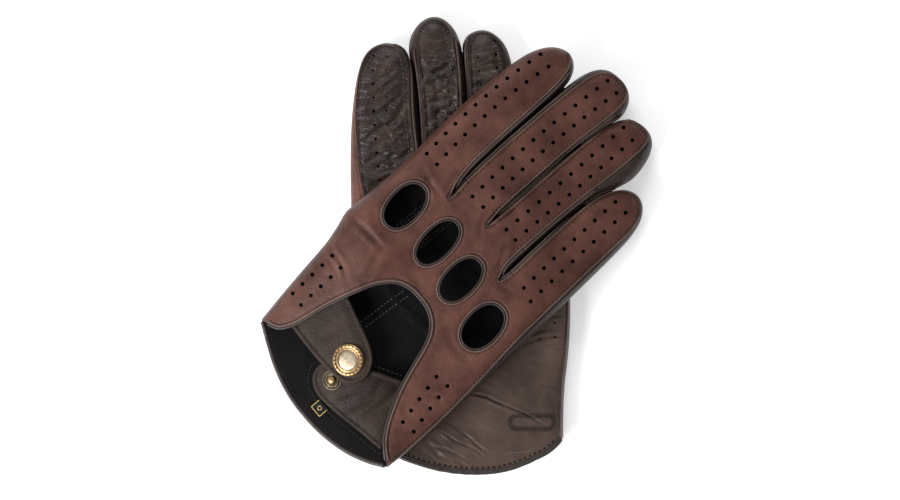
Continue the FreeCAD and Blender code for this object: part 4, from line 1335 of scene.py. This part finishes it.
def border_relief(folds):
    """A padded border, the stitch groove inside it and soft folds, on a strap or a tab."""
    def relief(points, d):
        bump = 0.22 * smoothstep(d, 0.1, 0.7) * smoothstep(-d, -2.1, -1.5)
        groove = -0.28 * bell(d, 2.1, 0.35)
        pillow = 0.3 * smoothstep(d, 2.4, 6)
        return (bump + groove + pillow + folds_at(points, folds) * smoothstep(d, 0.4, 3)
                + 0.12 * noise_at(points, 6, 4.4))
    return relief


def plate(glove, piece, path, low, high, folds):
    """The strap or the tab: a padded plate with a row of stitches inside its border."""
    outline = fit(glove, runs(path, 1.0)[:-1])
    relief = border_relief(folds)

    def top(points):
        return high + relief(points, distance(points, outline, closed=True))

    inner = parallel(fit(glove, runs(path, 1.0)), -2.05)
    inner = inner[distance(inner, outline, closed=True) > 1.9]
    return compose("%s_%s_leather" % (glove.name, piece), [
        pad_part(glove, outline, low, high, 0.7, STRAP, relief, 0.9),
        stitches_at(glove, inner, top, THREAD, 2.1, 1.5, 0.32)])


def closure(glove):
    """The strap with its snap cap and socket, the tab with its stud, and the rivet."""
    side = glove.name
    body, flap = side + "_glove", side + "_strap_flap"
    strap = plate(glove, "strap", STRAP_PATH, STRAP_LOW, STRAP_HIGH, STRAP_FOLDS)
    ends = fit(glove, STRAP_FOLD)
    middle = ends.mean(axis=0)
    away = STRAP_BEND * unit(np.array([ends[1][1] - ends[0][1], ends[0][0] - ends[1][0]]))
    across = glove.world([middle - away, middle + away], STRAP_HIGH) * MM
    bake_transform(strap)
    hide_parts(side + "_strap", side + "_strap_root")
    tab = plate(glove, "tab", TAB_PATH, TAB_LOW, TAB_HIGH, TAB_FOLDS)
    anchored(tab, body, side + "_closure_tab")
    for part, rides, (x, y), height, profiles in SNAP_PARTS:
        place = seat(glove, x * glove.scale, y, height)
        pieces = [lathe(profile, place, material) for profile, material in profiles]
        if part == "cap":
            pieces += [bead(place, BEAD_CIRCLE * cos, BEAD_CIRCLE * sin, DARK_METAL)
                       for cos, sin in zip(*circle(BEADS))]
        thing = compose("%s_snap_%s_brass" % (side, part), pieces)
        anchored(thing, "%s_%s" % (side, rides), "%s_snap_%s" % (side, part))


def rectangle(x, y, half_x, half_y, corner=0.6, count=6):
    """A closed rectangle with rounded corners, anticlockwise."""
    points = []
    for sx, sy, start in ((1, 1, 0), (-1, 1, 90), (-1, -1, 180), (1, -1, 270)):
        for a in np.radians(np.linspace(start, start + 90, count)):
            points.append((x + sx * (half_x - corner) + corner * math.cos(a),
                           y + sy * (half_y - corner) + corner * math.sin(a)))
    return np.array(points)


def label(glove):
    """The size label, sewn inside the palm at the hem, with a plain gold frame and diamond."""
    x, y = LABEL_AT
    outline = resample(loop(rectangle(x, y, 3.3, 2.95)), 0.6)[:-1][::-1]
    parts = [pad_part(glove, outline, 1.2, 1.75, 0.3, CLOTH, spacing=0.8)]
    corner = [(-2.9, 2.5), (-2.9, -2.4), (2.9, -2.4), (2.9, 2.5)]
    diamond = [(0, 1.5), (1.1, 0.2), (0, -1.1), (-1.1, 0.2), (0, 1.5)]
    for path, half in ((corner, 0.22), (diamond, 0.2)):
        line = resample(np.array(path) + LABEL_AT, 0.4)
        out = seat(glove, x, y, 1.5)[3]
        parts.append((*tube_along(glove.world(line, 1.8), out, half, 0.1), GOLD))
    thing = compose(glove.name + "_size_label_woven", parts)
    anchored(thing, glove.name + "_glove", glove.name + "_size_label")


THUMB_LOW = -4.5        # the folded thumb fills the gap between the gloves


def thumb(glove, base, tip, radius=10.6):
    """The thumb, folded flat on the palm's outer face between the gloves."""
    base, tip = np.array(base, float), np.array(tip, float)
    along = unit(tip - base)
    across = np.array([along[1], -along[0]])
    round_tip = [tip + radius * (math.cos(a) * across + math.sin(a) * along)
                 for a in np.linspace(0, math.pi, 14)]
    outline = np.vstack([[base + radius * across * 1.05], round_tip, [base - radius * across * 1.05]])
    outline = resample(loop(outline), 1.3)[:-1][::-1]
    folds = [([base + 8 * across + 12 * along, base + 14 * along, base - 8 * across + 16 * along],
              2.4, 0.5)]

    def relief(points, d):
        return (folds_at(points, folds) + 0.25 * noise_at(points, 8, 7.7)) * -smoothstep(d, 0.4, 4)

    seam = resample(loop(outline), TRIM_STEP)
    welt = tube_along(glove.world(seam, THUMB_LOW / 2), seat(glove, *base, 0)[3], 0.35, 0.5,
                      closed=True)
    thing = compose(glove.name + "_thumb_leather", [
        pad_part(glove, outline, THUMB_LOW, 0.0, 4.2, BLACK, relief, 1.5), (*welt, BROWN)])
    anchored(thing, glove.name + "_glove",
             *[glove.name + "_thumb_" + part for part in ("front", "back", "gusset")])


right = Glove(RIGHT, dict(back=RIGHT_BACK_FOLDS, palm=RIGHT_PALM_FOLDS),
              dict(back=RIGHT_BACK_SWELLS, palm=[]), RIGHT_PALM_HOLES)
left = Glove(LEFT, dict(back=[], palm=LEFT_PALM_FOLDS),
             dict(back=[], palm=LEFT_PALM_SWELLS), LEFT_PALM_HOLES + KNOTS)
for glove in (right, left):
    panels(glove)
    stand_ins = trims(glove)
    closure(glove)
    label(glove)
    for thing, nodes in stand_ins:
        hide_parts(*nodes)
thumb(right, (-37.3, 67.4), (-21.9, 111))
thumb(left, (-36, 48), (-2, 80))


# ------------------------------------------------------------------ floor, light, camera
LAMP_TARGET = (0, 0, 0.01)


def floor():
    """A plain pale floor."""
    mesh = bpy.data.meshes.new("floor")
    reach = 3.0
    mesh.from_pydata([(-reach, -reach, 0), (reach, -reach, 0), (reach, reach, 0), (-reach, reach, 0)],
                     [], [(0, 1, 2, 3)])
    material = bpy.data.materials.new("floor")
    material.use_nodes = True
    shader = material.node_tree.nodes["Principled BSDF"]
    shader.inputs["Base Color"].default_value = (0.9, 0.9, 0.9, 1)
    shader.inputs["Roughness"].default_value = 0.9
    shader.inputs["Emission Color"].default_value = (1, 1, 1, 1)
    shader.inputs["Emission Strength"].default_value = 0.4
    mesh.materials.append(material)
    thing = bpy.data.objects.new("floor", mesh)
    bpy.context.scene.collection.objects.link(thing)


def lamp(name, place, size, energy):
    """A soft rectangular lamp that points at the gloves."""
    light = bpy.data.lights.new(name, "AREA")
    light.shape = "RECTANGLE"
    light.size, light.size_y = size
    light.energy = energy
    thing = bpy.data.objects.new(name, light)
    thing.location = place
    thing.rotation_euler = (Vector(LAMP_TARGET) - Vector(place)).to_track_quat("-Z", "Y").to_euler()
    bpy.context.scene.collection.objects.link(thing)


def camera():
    """A camera straight above the gloves."""
    view = bpy.data.cameras.new("camera")
    height, seen_width, glove_height = 1.5, 0.414, 0.012
    view.sensor_width = 36
    view.lens = view.sensor_width * (height - glove_height) / seen_width
    thing = bpy.data.objects.new("camera", view)
    thing.location = (-0.0024, -0.0024, height)
    bpy.context.scene.collection.objects.link(thing)
    bpy.context.scene.camera = thing


floor()
lamp("softbox", (-1.1, -0.75, 0.85), (0.7, 0.7), 32)
lamp("window", (-0.2, 1.1, 1.0), (0.9, 0.4), 9)
camera()
world = bpy.data.worlds.new("studio")
bpy.context.scene.world = world
world.use_nodes = True
world.node_tree.nodes["Background"].inputs["Color"].default_value = (1, 1, 1, 1)
world.node_tree.nodes["Background"].inputs["Strength"].default_value = 0.42
bpy.context.scene.view_settings.view_transform = "Standard"
